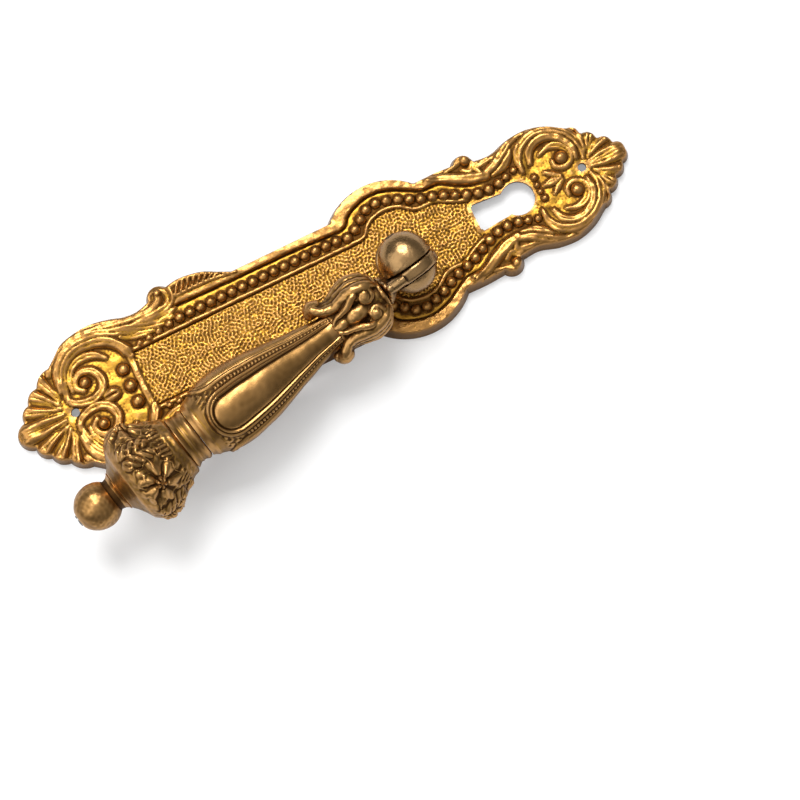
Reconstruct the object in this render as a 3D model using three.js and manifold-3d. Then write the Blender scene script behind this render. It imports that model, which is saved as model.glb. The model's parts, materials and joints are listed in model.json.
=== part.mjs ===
// Drop-handle pull on a long stamped keyhole plate, lying on its back with the loose post leaning.
// Millimetres, +Z up. While building, X runs along the plate from its bottom tip and Y across it;
// at the end the whole object is moved so that the origin is the centre of its box's base.
import * as THREE from 'three';
import Module from 'manifold-3d';
import { mergeVertices } from 'three/addons/utils/BufferGeometryUtils.js';

const wasm = await Module();
wasm.setup();

// ------------------------------------------------------------------ driving dimensions

const gap = 0.3;                // clearance between neighbouring pieces

const plate = {
  length: 168,                  // tip to tip
  bandHalfWidth: 15.7,          // straight sides
  scrollHalfWidth: 19.1,        // widest place of the bottom ornament
  crownHalfWidth: 15.7,         // widest place of the top ornament
  height: 4,                    // back rim to the border band
  wallRun: 1.5,                 // how far the bevelled wall slopes inwards
  rim: 1.3,                     // width of the flat rim that lies on the door
  skin: 1,                      // thickness under the sunk panel
  panelDepth: 0.7,              // panel below the border band
  bulgeHalfLength: 12,          // round bulge beside the post
  bulgeRise: 5,
  reliefHeight: 1.2,            // crest of the ornament above the border band
};
const panelHalfWidth = 7.2;
const panelStart = 35;          // from the bottom tip
const panelEyeHalfWidth = 11.5; // the panel's round widening at the post

const postFromTop = 63.75;      // top tip to the post hole
const keyholeFromTop = 30.6;    // top tip to the centre of the keyhole's round head
const keyhole = { headRadius: 4.6, slotLength: 11.7, waist: 2.8, foot: 3.5 };
const nailHoleRadius = 1.1;
const nailFromBottom = 15.9;
const nailFromTop = 12.6;

const post = {
  holeRadius: 4.4,              // oversize hole in the plate
  shankRadius: 2.8,
  shankLength: 4.6,             // below the boss
  bossRadius: 5.4,
  bossHeight: 2.2,
  flangeRadius: 6.75,
  flangeHeight: 2,
  neckRadius: 4.5,
  neckLength: 3,                // flange to the underside of the ball
  ballRadius: 6.8,
  ballHalfWidth: 7.8,           // the ball is a little longer along the pin
  slotWidth: 3.8,
  slotOffset: -2.1,             // the slot is cut to one side of the ball's middle
  pinRadius: 1.35,
  seatOffset: -1.1,             // how far the loose post has slid across its hole
  lean: THREE.MathUtils.degToRad(18),
};

const handle = {
  planAngle: THREE.MathUtils.degToRad(11.4), // turned away from the plate's long axis
  stemLength: 1.6,              // tongue's rim to the capital
  bodyStart: 24,                // this and the next are distances from the pivot pin
  collarStart: 64.8,
  knobStart: 69.4,
  finialStart: 87.4,
  eyeWidth: 7,                  // the tongue's stem, across the handle
  hubRadius: 3.4,               // round end of the eye, under the capital
  capitalHalfWidth: 8.8,        // across its two curled leaves
  capitalHalfHeight: 6.8,       // across its scrolls
  bodyNeckRadius: 3.9,
  bodyRadius: 8.75,
  collarRadius: 7.6,
  knobRadius: 12.8,
  knobSeatRadius: 8.95,         // flat of the knob that meets the collar
  knobEndRadius: 4.2,           // flat of the knob that meets the finial
  finialRadius: 5.8,
  finialNeckRadius: 3.4,
  finialNeckLength: 0.5,
  finialFlatRadius: 2.2,        // small flat on the ball's end
  rodRadius: 1.5,
};

// ------------------------------------------------------------------ derived sizes

const postX = plate.length - postFromTop;
const panelZ = plate.height - plate.panelDepth;
const seatZ = panelZ + gap;
const flangeTop = post.bossHeight + post.flangeHeight;
const ballSeat = Math.sqrt(post.ballRadius ** 2 - post.neckRadius ** 2);
const ballHeight = flangeTop + post.neckLength + ballSeat;
const tongueRadius = post.neckLength + ballSeat - gap;
const tongueThickness = post.slotWidth - 2 * gap;
const boreRadius = handle.rodRadius + gap;
const capitalStart = tongueRadius + handle.stemLength;
const knobCentre = handle.knobStart + Math.sqrt(handle.knobRadius ** 2 - handle.knobSeatRadius ** 2);
const finialCentre = handle.finialStart + handle.finialNeckLength + handle.finialRadius;
const reliefTop = plate.height + plate.reliefHeight;

// ------------------------------------------------------------------ small geometry helpers

const sides = 24;               // facets round every turned piece

function solid(geometry) {
  const bare = geometry.clone();
  bare.deleteAttribute('normal');
  bare.deleteAttribute('uv');
  const merged = mergeVertices(bare, 1e-4);
  const mesh = new wasm.Mesh({
    numProp: 3,
    vertProperties: merged.attributes.position.array,
    triVerts: new Uint32Array(merged.index.array),
  });
  mesh.merge();
  return new wasm.Manifold(mesh);
}

function geometryOf(manifold) {
  const mesh = manifold.getMesh();
  const geometry = new THREE.BufferGeometry();
  geometry.setAttribute('position', new THREE.BufferAttribute(new Float32Array(mesh.vertProperties), 3));
  geometry.setIndex(new THREE.BufferAttribute(new Uint32Array(mesh.triVerts), 1));
  return geometry;
}

function cut(body, ...tools) {
  return tools.reduce((rest, tool) => rest.subtract(tool), body);
}

function join(body, ...more) {
  return more.reduce((whole, piece) => whole.add(piece), body);
}

// A turned solid on the Z axis from [radius, height] pairs that start and end on the axis.
function turned(profile) {
  const points = profile.map(([radius, height]) => new THREE.Vector2(radius, height));
  return new THREE.LatheGeometry(points, sides).rotateX(Math.PI / 2);
}

function cylinder(radius, bottom, top) {
  return turned([[0, bottom], [radius, bottom], [radius, top], [0, top]]);
}

function box(size, centre) {
  return new THREE.BoxGeometry(...size).translate(...centre);
}

function dome(radius, height, x, y, z) {
  return solid(new THREE.SphereGeometry(1, 12, 8).rotateX(Math.PI / 2)
    .scale(radius, radius, height).translate(x, y, z));
}

function extruded(points, bottom, top) {
  const shape = new THREE.Shape(points);
  const prism = new THREE.ExtrudeGeometry(shape, { depth: top - bottom, bevelEnabled: false });
  return prism.translate(0, 0, bottom);
}

// An arc from one point to the next that bulges to the left of the way by rise.
function arc(from, to, rise, steps = 5) {
  const half = from.distanceTo(to) / 2;
  const radius = (half * half + rise * rise) / (2 * rise);
  const along = to.clone().sub(from).normalize();
  const left = new THREE.Vector2(-along.y, along.x);
  const centre = from.clone().addScaledVector(along, half).addScaledVector(left, rise - radius);
  const start = Math.atan2(from.y - centre.y, from.x - centre.x);
  const sweep = -2 * Math.asin(Math.min(1, half / radius));
  const turn = rise > half ? -2 * Math.PI - sweep : sweep;
  return Array.from({ length: steps }, (_, i) => {
    const angle = start + turn * (i + 1) / steps;
    return new THREE.Vector2(centre.x + radius * Math.cos(angle), centre.y + radius * Math.sin(angle));
  });
}

function curve(points, steps) {
  return new THREE.SplineCurve(points).getSpacedPoints(steps).slice(1);
}

// A closed outline from its half on the +Y side, whose ends lie on the X axis.
function mirrored(half) {
  const other = half.slice(1, -1).reverse().map((point) => new THREE.Vector2(point.x, -point.y));
  return [...half, ...other].reverse();
}

// ------------------------------------------------------------------ plate outline

const at = (x, y) => new THREE.Vector2(x, y);

// The upper half of the plate's outline, from the bottom tip to the top tip.
function plateHalf() {
  const wide = plate.scrollHalfWidth;
  const top = plate.length;
  const crown = plate.crownHalfWidth;
  const band = plate.bandHalfWidth;
  const half = [at(0, 0)];
  const reach = (points) => half.push(...points);
  const last = () => half[half.length - 1];

  // shell lobes of the bottom tip
  const lobes = [[3, 0.19], [5.7, 0.38], [9.4, 0.54], [14.1, 0.71]];
  lobes.forEach(([x, share]) => reach(arc(last(), at(x, share * wide), 0.7)));
  // back of the C-scroll, the curled ear and the leaf fringe
  reach(curve([last(), at(18, 0.9 * wide), at(23, 0.985 * wide), at(28.5, wide), at(35, 0.93 * wide),
    at(42.2, 0.91 * wide)], 12));
  reach(arc(last(), at(48.8, wide + 0.5), 2));
  reach(curve([last(), at(53, wide + 0.7), at(59, wide - 0.3), at(65.5, band)], 6));
  // straight side and the bulge at the post
  reach([at(postX - plate.bulgeHalfLength, band)]);
  reach(arc(last(), at(postX + plate.bulgeHalfLength, band), plate.bulgeRise, 10));
  // top ornament: shoulder, ear, crown and shell lobes
  reach(curve([last(), at(top - 46, band), at(top - 41.5, crown)], 4));
  reach(arc(last(), at(top - 36, 0.92 * crown), 1.8));
  reach(curve([last(), at(top - 31, 0.88 * crown), at(top - 26, 0.98 * crown), at(top - 21, crown),
    at(top - 16, 0.91 * crown), at(top - 11.5, 0.73 * crown)], 12));
  const crownLobes = [[8.5, 0.55], [5.3, 0.37], [2.2, 0.2], [0, 0]];
  crownLobes.forEach(([x, share]) => reach(arc(last(), at(top - x, share * crown), 0.7)));
  return half;
}

const plateOutline = mirrored(plateHalf());

// Half width of the plate's foot at a place along it.
function halfWidthAt(x) {
  const half = plateHalf();
  const next = half.findIndex((point) => point.x > x);
  if (next < 1) return 0;
  const share = (x - half[next - 1].x) / (half[next].x - half[next - 1].x);
  return THREE.MathUtils.lerp(half[next - 1].y, half[next].y, share);
}

// The outline as a block with bevelled sides: inset at its foot, bevelled over wallRun up to its top.
function bevelledBlock(inset, top) {
  const geometry = new THREE.ExtrudeGeometry(new THREE.Shape(plateOutline), {
    depth: 1,
    bevelThickness: top,
    bevelSize: plate.wallRun,
    bevelOffset: -plate.wallRun - inset,
    bevelSegments: 1,
  });
  const below = box([plate.length * 2, plate.length, 20], [plate.length / 2, 0, -10]);
  return solid(geometry.translate(0, 0, -1)).subtract(solid(below));
}

function panelOutline() {
  const end = plate.length - keyholeFromTop - keyhole.slotLength + 1;
  const half = [at(panelStart, 0), at(panelStart, panelHalfWidth), at(postX - 6, panelHalfWidth)];
  half.push(...arc(half[2], at(postX + 10, panelHalfWidth), panelEyeHalfWidth - panelHalfWidth, 8));
  half.push(at(end, keyhole.foot + 0.8), at(end, 0));
  return mirrored(half);
}

function keyholeOutline() {
  const centre = plate.length - keyholeFromTop;
  const meet = Math.sqrt(keyhole.headRadius ** 2 - keyhole.waist ** 2);
  const foot = centre - keyhole.slotLength;
  const half = [at(foot, 0), at(foot, keyhole.foot), at(centre - meet, keyhole.waist)];
  const start = Math.atan2(keyhole.waist, -meet);
  const steps = 8;
  for (let i = 1; i <= steps; i += 1) {
    const angle = start * (1 - i / steps);
    half.push(at(centre + keyhole.headRadius * Math.cos(angle), keyhole.headRadius * Math.sin(angle)));
  }
  return mirrored(half);
}

// A rounded ridge that follows points in the plate's plane, half sunk in the border band.
function ridge(points, radius) {
  const path = new THREE.CatmullRomCurve3(points.map(([x, y]) => new THREE.Vector3(x, y, plate.height)));
  const section = new THREE.Shape();
  section.absarc(0, 0, radius, 0, 2 * Math.PI);
  return solid(new THREE.ExtrudeGeometry(section, { steps: 14, curveSegments: 4, extrudePath: path }));
}

function plateRelief() {
  const wide = plate.scrollHalfWidth;
  const crown = plate.crownHalfWidth;
  const top = plate.length;
  const crest = plate.reliefHeight;
  const pieces = [];
  [1, -1].forEach((side) => {
    const scroll = [[17, 0.16], [14.6, 0.38], [16.5, 0.66], [22, 0.82], [29, 0.77], [33.4, 0.48]];
    const crownScroll = [[15.5, 0.1], [12.4, 0.3], [14, 0.56], [19, 0.68], [25, 0.6]];
    pieces.push(ridge(scroll.map(([x, share]) => [x, side * share * wide]), crest));
    pieces.push(ridge(crownScroll.map(([x, share]) => [top - x, side * share * crown]), crest));
    pieces.push(dome(3.6, crest, 20.7, side * 6, plate.height));
    pieces.push(dome(3, crest, 46, side * (wide - 1.5), plate.height - 0.2));
    pieces.push(dome(2.2, crest, top - 16.3, side * 4, plate.height));
    pieces.push(dome(2.4, crest, top - 38.3, side * (crown - 1), plate.height - 0.2));
  });
  [-1, 0, 1].forEach((place) => pieces.push(dome(1.6, crest, panelStart - 4, place * 4.4, plate.height)));
  return pieces;
}

function backplate() {
  const shell = join(bevelledBlock(0, plate.height), ...plateRelief());
  const hollow = bevelledBlock(plate.rim, panelZ - plate.skin);
  const through = (radius, x) => solid(cylinder(radius, -1, reliefTop + 1).translate(x, 0, 0));
  return cut(
    shell,
    hollow,
    solid(extruded(panelOutline(), panelZ, reliefTop + 1)),
    solid(extruded(keyholeOutline(), -1, reliefTop + 1)),
    through(post.holeRadius, postX),
    through(nailHoleRadius, nailFromBottom),
    through(nailHoleRadius, plate.length - nailFromTop),
  );
}

// ------------------------------------------------------------------ post (Z from the boss's underside)

const shankDepth = flangeTop - 0.6; // how deep the shank's socket goes

function postStud() {
  const profile = [[0, 0], [post.bossRadius, 0], [post.bossRadius, post.bossHeight],
    [post.flangeRadius, post.bossHeight + 0.4], [post.flangeRadius, flangeTop - 0.4],
    [post.flangeRadius - 0.6, flangeTop], [post.neckRadius, flangeTop], [post.neckRadius, ballHeight],
    [0, ballHeight]];
  const ball = new THREE.SphereGeometry(1, sides, 14)
    .scale(post.ballRadius, post.ballHalfWidth, post.ballRadius).translate(0, 0, ballHeight);
  const slotHeight = 2 * post.ballRadius + post.neckLength;
  const slot = box([4 * post.ballRadius, post.slotWidth, slotHeight],
    [0, post.slotOffset, flangeTop + slotHeight / 2]);
  const pinHole = cylinder(post.pinRadius + gap, -2 * post.ballRadius, 2 * post.ballRadius)
    .rotateX(Math.PI / 2).translate(0, 0, ballHeight);
  const socket = cylinder(post.shankRadius + gap, -1, shankDepth);
  return cut(join(solid(turned(profile)), solid(ball)), solid(slot), solid(pinHole), solid(socket));
}

function postShank() {
  const chamfer = 0.5;
  return turned([[0, -post.shankLength], [post.shankRadius - chamfer, -post.shankLength],
    [post.shankRadius, chamfer - post.shankLength], [post.shankRadius, shankDepth - gap],
    [0, shankDepth - gap]]);
}

function pivotPin() {
  const end = post.ballHalfWidth * Math.sqrt(1 - (post.pinRadius / post.ballRadius) ** 2);
  return cylinder(post.pinRadius, -end, end).rotateX(Math.PI / 2);
}

// ------------------------------------------------------------------ handle (Z from the pivot pin outwards)

function alongRod(geometry) {
  return geometry.rotateY(-Math.PI / 2);
}

// A turned shell with the rod's bore through it.
function bored(profile) {
  const ends = profile.map(([, height]) => height);
  const bore = cylinder(boreRadius, Math.min(...ends) - 1, Math.max(...ends) + 1);
  return cut(solid(turned(profile)), solid(bore));
}

const rodEnd = finialCentre + handle.finialRadius - 0.1;

function handleEye() {
  const flat = tongueThickness;
  const length = capitalStart - gap;
  const disc = cylinder(tongueRadius, -flat / 2, flat / 2).rotateX(Math.PI / 2);
  const neck = box([handle.eyeWidth, flat, length], [0, 0, length / 2]);
  const hubStart = tongueRadius - gap;
  const hub = turned([[0, hubStart], [handle.hubRadius - 0.6, hubStart], [handle.hubRadius, length],
    [0, length]]);
  const pinHole = cylinder(post.pinRadius + gap, -flat, flat).rotateX(Math.PI / 2);
  const rodSocket = cylinder(boreRadius, tongueRadius, length + 1);
  return cut(join(solid(disc), solid(neck), solid(hub)), solid(pinHole), solid(rodSocket));
}

function handleRod() {
  return cylinder(handle.rodRadius, tongueRadius + gap, rodEnd);
}

// The scrolled capital: a swelling core, a pair of scrolls above and below, and a leaf on each side
// whose tip curls out over the body's neck.
function handleCapital() {
  const start = capitalStart;
  const end = handle.bodyStart - gap;
  const length = end - start;
  const wide = handle.capitalHalfWidth;
  const high = handle.capitalHalfHeight;
  const core = turned([[0, start], [4.2, start], [0.8 * high, start + 0.15 * length],
    [0.88 * high, start + 0.35 * length], [0.8 * high, start + 0.65 * length],
    [handle.bodyNeckRadius + 1, end], [0, end]]);
  const lump = (radius, across, up, along) => solid(new THREE.SphereGeometry(radius, 8, 6)
    .translate(up, across, along));
  const lumps = [1, -1].flatMap((side) => [
    lump(2.2, 2.1, side * (high - 2.2), start + 0.3 * length),
    lump(2.2, -2.1, side * (high - 2.2), start + 0.3 * length),
    lump(3.2, side * (wide - 3.9), 0, start + 0.4 * length),
    lump(3.2, side * (wide - 3.3), 0, start + 0.75 * length),
    lump(2.6, side * (wide - 2.6), 0, end + 0.6),
    lump(2.2, side * (wide - 2.2), 0, end + 2.6),
  ]);
  return cut(join(solid(core), ...lumps), solid(turned(bodyProfile(gap))),
    solid(cylinder(boreRadius, start - 4, end + 4)));
}

// The pear-shaped body's profile, grown all round by a clearance.
function bodyProfile(clearance) {
  const start = handle.bodyStart;
  const length = handle.collarStart - gap - start;
  const thin = handle.bodyNeckRadius;
  const fat = handle.bodyRadius;
  // share of the length, share of the way from the thin to the fat radius
  const swell = [[0, 0.06], [0.06, 0], [0.2, 0.06], [0.35, 0.27], [0.5, 0.56], [0.63, 0.83], [0.72, 0.97],
    [0.79, 1], [0.87, 0.92], [0.94, 0.7], [1, 0.58]];
  const wall = swell.map(([along, share]) => [
    THREE.MathUtils.lerp(thin, fat, share) + clearance,
    start - clearance + along * (length + 2 * clearance),
  ]);
  return [[0, start - clearance], ...wall, [0, start + length + clearance]];
}

function handleBody() {
  return bored(bodyProfile(0));
}

function handleCollar() {
  const start = handle.collarStart;
  const end = handle.knobStart - gap;
  const radius = handle.collarRadius;
  const ring = (end - start) / 4;
  return bored([[0, start], [radius - 0.9, start], [radius, start + 0.4 * ring], [radius, start + 1.2 * ring],
    [radius - 0.9, start + 1.8 * ring], [radius - 0.9, start + 2.4 * ring], [radius, start + 2.9 * ring],
    [radius, start + 3.7 * ring], [radius - 0.5, end], [0, end]]);
}

function handleKnob() {
  const start = handle.knobStart;
  const end = handle.finialStart - gap;
  const radius = handle.knobRadius;
  const first = Math.asin((knobCentre - start) / radius);
  const last = THREE.MathUtils.degToRad(42);
  const steps = 9;
  const profile = [[0, start]];
  for (let i = 0; i <= steps; i += 1) {
    const angle = THREE.MathUtils.lerp(-first, last, i / steps);
    profile.push([radius * Math.cos(angle), knobCentre + radius * Math.sin(angle)]);
  }
  profile.push([handle.knobEndRadius, end], [0, end]);
  return bored(profile);
}

function handleFinial() {
  const start = handle.finialStart;
  const radius = handle.finialRadius;
  const steps = 9;
  const first = Math.acos(handle.finialNeckRadius / radius);
  const last = Math.acos(handle.finialFlatRadius / radius);
  const profile = [[0, start], [handle.finialNeckRadius + 0.5, start]];
  for (let i = 0; i <= steps; i += 1) {
    const angle = THREE.MathUtils.lerp(-first, last, i / steps);
    profile.push([radius * Math.cos(angle), finialCentre + radius * Math.sin(angle)]);
  }
  profile.push([0, finialCentre + radius * Math.sin(last)]);
  return bored(profile);
}

// ------------------------------------------------------------------ resting pose

// Where the pivot pin lies when the post leans, in the plate's frame.
function pivotPoint() {
  const fromEdge = new THREE.Vector3(0, post.bossRadius, ballHeight);
  fromEdge.applyAxisAngle(new THREE.Vector3(1, 0, 0), post.lean);
  return fromEdge.add(new THREE.Vector3(postX, post.seatOffset - post.bossRadius, seatZ));
}

// The post's turn and the handle's swing that point the handle along a direction.
function anglesFor(direction) {
  const inPost = direction.clone().applyAxisAngle(new THREE.Vector3(1, 0, 0), -post.lean);
  return { swivel: Math.atan2(-inPost.y, -inPost.x), swing: Math.asin(inPost.z) };
}

// Where the handle's own axis passes the pin, beside the ball's middle.
function handleFoot(direction) {
  const pinAxis = new THREE.Vector3(0, 1, 0)
    .applyAxisAngle(new THREE.Vector3(0, 0, 1), anglesFor(direction).swivel)
    .applyAxisAngle(new THREE.Vector3(1, 0, 0), post.lean);
  return pivotPoint().addScaledVector(pinAxis, post.slotOffset);
}

// The handle's direction when its knob lies on the edge of the plate.
function restingDirection() {
  const plan = handle.planAngle;
  const passes = 4;
  let direction = new THREE.Vector3(-Math.cos(plan), -Math.sin(plan), 0);
  for (let pass = 0; pass < passes; pass += 1) {
    const foot = handleFoot(direction);
    const knobX = foot.x - knobCentre * Math.cos(plan);
    const knobY = foot.y - knobCentre * Math.sin(plan);
    const edge = halfWidthAt(knobX) - plate.wallRun;
    const beyond = THREE.MathUtils.clamp(-knobY - edge, 0, handle.knobRadius);
    const knobZ = reliefTop + Math.sqrt((handle.knobRadius + gap) ** 2 - beyond ** 2);
    const rise = (knobZ - foot.z) / knobCentre;
    const flat = Math.sqrt(1 - rise * rise);
    direction = new THREE.Vector3(-flat * Math.cos(plan), -flat * Math.sin(plan), rise);
  }
  return direction;
}

// ------------------------------------------------------------------ assembly

const goldBrass = { color: 0xb8862f, roughness: 0.38, metalness: 1 };
const bronze = { color: 0x8a5f37, roughness: 0.36, metalness: 1 };
const steel = { color: 0x8d8f92, roughness: 0.45, metalness: 1 };

function piece(name, geometry, look) {
  const mesh = new THREE.Mesh(geometry, new THREE.MeshStandardMaterial(look));
  mesh.name = name;
  return mesh;
}

const rest = anglesFor(restingDirection());

const assembly = new THREE.Group();
assembly.add(piece('backplate', geometryOf(backplate()), goldBrass));

// The post leans about the edge of its boss and is turned about its own axis.
const leaning = new THREE.Group();
leaning.position.set(postX, post.seatOffset - post.bossRadius, seatZ);
leaning.rotation.x = post.lean;
const swivelled = new THREE.Group();
swivelled.position.y = post.bossRadius;
swivelled.rotation.z = rest.swivel;
leaning.add(swivelled);
assembly.add(leaning);
swivelled.add(piece('post_shank', postShank(), steel));
swivelled.add(piece('post_stud', geometryOf(postStud()), bronze));

const swung = new THREE.Group();
swung.position.set(0, post.slotOffset, ballHeight);
swung.rotation.y = rest.swing;
swivelled.add(swung);

const pin = piece('pivot_pin', pivotPin(), bronze);
pin.position.z = ballHeight;
swivelled.add(pin);

const handlePieces = [
  ['handle_eye', geometryOf(handleEye()), bronze],
  ['handle_rod', handleRod(), steel],
  ['handle_capital', geometryOf(handleCapital()), bronze],
  ['handle_body', geometryOf(handleBody()), bronze],
  ['handle_collar', geometryOf(handleCollar()), bronze],
  ['handle_knob', geometryOf(handleKnob()), bronze],
  ['handle_finial', geometryOf(handleFinial()), bronze],
];
handlePieces.forEach(([name, geometry, look]) => swung.add(piece(name, alongRod(geometry), look)));

const whole = new THREE.Box3().setFromObject(assembly, true);
const middle = whole.getCenter(new THREE.Vector3());
assembly.position.set(-middle.x, -middle.y, -whole.min.z);

export default assembly;
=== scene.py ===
"""Looks, light and camera for a drop-handle pull on an ornamental keyhole plate."""
import json
import math

import bmesh
import bpy
import numpy as np
from mathutils import Matrix, Vector, geometry, kdtree

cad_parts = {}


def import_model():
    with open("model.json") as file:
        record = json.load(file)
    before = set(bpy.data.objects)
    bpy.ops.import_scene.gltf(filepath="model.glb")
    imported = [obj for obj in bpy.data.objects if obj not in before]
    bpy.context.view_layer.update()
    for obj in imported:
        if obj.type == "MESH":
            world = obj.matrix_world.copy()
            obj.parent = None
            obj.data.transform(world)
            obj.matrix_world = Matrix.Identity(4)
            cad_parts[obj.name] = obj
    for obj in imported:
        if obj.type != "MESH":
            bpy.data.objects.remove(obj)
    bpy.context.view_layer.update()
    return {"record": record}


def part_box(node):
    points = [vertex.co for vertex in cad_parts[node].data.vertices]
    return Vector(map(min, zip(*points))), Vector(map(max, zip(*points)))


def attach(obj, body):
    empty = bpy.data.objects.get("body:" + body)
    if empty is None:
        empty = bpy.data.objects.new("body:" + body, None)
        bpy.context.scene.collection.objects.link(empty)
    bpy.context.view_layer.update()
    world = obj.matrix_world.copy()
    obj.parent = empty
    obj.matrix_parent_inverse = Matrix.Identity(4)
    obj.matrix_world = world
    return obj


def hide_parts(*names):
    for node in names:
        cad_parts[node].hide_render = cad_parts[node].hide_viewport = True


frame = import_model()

MM = 0.001
SEED = 7
STEP = 0.3      # between the points of a curve, millimetres

# Driving sizes of the plate, millimetres: u runs from its handle-end tip, v to either side, z up.
# A point of a ridge is (u, v, half-width), on one half of the plate: the other half mirrors it.
LENGTH = 168.0
POST_U = LENGTH - 63.75
POST_HOLE = 4.4
KEY_U = LENGTH - 30.6
KEY_HEAD = 4.35
KEY_SLOT = 11.7
KEY_WAIST = 3.0
KEY_FOOT = 3.65
NAIL_HOLE = 1.1
NAIL_US = (15.9, LENGTH - 12.6)
WALL_SLOPE = 4.2
RIM = 1.25
HOLLOW_TOP = 2.25
HOLLOW_SLOPE = 3
PANEL_START = 35.0
FACE_HEIGHT = 3.25
MOST_RELIEF = 1.75

# Driving sizes of the handle: s runs along it from its pivot pin.
PIN_RADIUS = 1.35
BALL_RADIUS = 6.8
BALL_HALF = 7.8
SLOT_WIDTH = 3.8
SLOT_OFFSET = -2.1
NECK_RADIUS = 4.5
NECK_LENGTH = 3.0
TONGUE_RADIUS = 6.95
TONGUE_WIDTH = 3.2
CAPITAL_S = 9.4
BODY_S = 24.0
COLLAR_S = 64.8
KNOB_S = 69.4
FINIAL_S = 87.4
GAP = 0.3
SEAM = 0.03


# ---------------------------------------------------------------- curves and fields

def spline(points, step=STEP, axes=2):
    """A smooth curve through points whose first values, axes of them, are a place."""
    given = np.array(points, float)
    chord = np.diff(given, axis=0)
    size = np.linalg.norm(chord[:, :axes], axis=1)[:, None]
    slope = chord / size
    tangent = np.vstack([slope[:1], (slope[1:] * size[:-1] + slope[:-1] * size[1:]) / (size[1:] + size[:-1]),
                         slope[-1:]])
    parts = []
    lengths = size[:, 0]
    for i, length in enumerate(lengths):
        t = np.linspace(0, 1, max(3, math.ceil(length / step) + 1))[:-1, None]
        leaving = min(length, 2 * lengths[max(i - 1, 0)]) * tangent[i]
        arriving = min(length, 2 * lengths[min(i + 1, len(lengths) - 1)]) * tangent[i + 1]
        parts.append((2 * t ** 3 - 3 * t ** 2 + 1) * given[i] + (3 * t ** 2 - 2 * t ** 3) * given[i + 1]
                     + (t ** 3 - 2 * t ** 2 + t) * leaving + (t ** 3 - t ** 2) * arriving)
    return np.vstack(parts + [given[-1:]])


def straight(start, end):
    """Points from start up to, but not at, end."""
    start, end = np.array(start, float), np.array(end, float)
    count = max(1, math.ceil(np.linalg.norm(end - start) / STEP))
    return start + (end - start) * (np.arange(count)[:, None] / count)


def bulge(start, end, rise):
    """An arc from start up to, but not at, end, standing out to the left by rise."""
    start, end = np.array(start, float), np.array(end, float)
    chord = end - start
    half = np.linalg.norm(chord) / 2
    radius = (half ** 2 + rise ** 2) / (2 * rise)
    spread = math.asin(min(1, half / radius))
    spread = math.pi - spread if rise > half else spread
    count = max(2, math.ceil(2 * spread * radius / STEP))
    angle = -spread + 2 * spread * np.arange(count) / count
    along = chord / (2 * half)
    left = np.array([-along[1], along[0]])
    middle = (start + end) / 2 + left * (rise - radius)
    return middle + radius * (np.sin(angle)[:, None] * along + np.cos(angle)[:, None] * left)


def nearest(points, path):
    """Each point's distance to a path, and the path's third value there."""
    a, b = path[:-1], path[1:]
    chord = (b - a)[:, :2]
    size = (chord ** 2).sum(1)
    distance = np.empty(len(points))
    width = np.empty(len(points))
    block = max(1, 3_000_000 // len(a))
    for first in range(0, len(points), block):
        rel = points[first:first + block, None] - a[:, :2]
        t = np.clip((rel * chord).sum(2) / size, 0, 1)
        gap = ((rel - t[..., None] * chord) ** 2).sum(2)
        best = gap.argmin(1)
        row = np.arange(len(best))
        distance[first:first + block] = np.sqrt(gap[row, best])
        width[first:first + block] = (a[best, 2] + (b - a)[best, 2] * t[row, best])
    return distance, width


def smooth_step(x, low, high):
    """Nothing below low, one above high, and an even slope between."""
    t = np.clip((x - low) / (high - low), 0, 1)
    return t * t * (3 - 2 * t)


def window(x, rise, fall):
    """One between two (start, end) slopes, and nothing outside them."""
    return smooth_step(x, *rise) * (1 - smooth_step(x, *fall))


def hump(x, centre, width):
    """A bell of unit height."""
    return np.exp(-((x - centre) / width) ** 2)


def crown(x, power=0.5):
    """A round top of unit height, from -1 to 1."""
    return np.clip(1 - x ** 2, 0, None) ** power


def waves(points, wavelength, rng, count=28):
    """A random field of about unit size with one wavelength, in two or three dimensions."""
    direction = rng.normal(size=(count, points.shape[1]))
    direction /= np.linalg.norm(direction, axis=1)[:, None]
    direction *= 2 * math.pi / wavelength * rng.uniform(0.85, 1.15, (count, 1))
    phase = rng.uniform(0, 2 * math.pi, count)
    total = np.zeros(len(points))
    for k, p in zip(direction, phase):
        total += np.cos(points @ k + p)
    return total * math.sqrt(2 / count)


def ridge(field, points, path_points, height=0.8, cap=1.35, base=0.3, softness=0.62, vein=0.0):
    """Raise a rounded ridge along a curve of (u, v, half-width) points, with a vein down its middle."""
    path = spline(path_points)
    reach = path[:, 2].max()
    low = path[:, :2].min(0) - reach
    high = path[:, :2].max(0) + reach
    inside = np.flatnonzero(((points > low) & (points < high)).all(1))
    distance, width = nearest(points[inside], path)
    width = np.maximum(width, 0.15)
    rise = crown(distance / width, softness)
    rise *= 1 - vein * hump(distance, 0, 0.34 * width) * smooth_step(width, 0.75, 1.1)
    field[inside] = np.maximum(field[inside], np.minimum(base + height * width, cap) * rise)


def dome(field, points, centre, radius, height, base=0.0):
    """Raise a round knob."""
    r2 = ((points - np.array(centre)) ** 2).sum(1) / radius ** 2
    inside = r2 < 1
    field[inside] = np.maximum(field[inside], base + height * np.sqrt(1 - r2[inside]))


# ---------------------------------------------------------------- meshes

def placed(name, mesh):
    """An object in the scene that carries a mesh."""
    made = bpy.data.objects.new(name, mesh)
    bpy.context.scene.collection.objects.link(made)
    return made


def mesh_of(name, shell):
    """Finish a growing mesh."""
    mesh = bpy.data.meshes.new(name)
    shell.to_mesh(mesh)
    shell.free()
    return mesh


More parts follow.
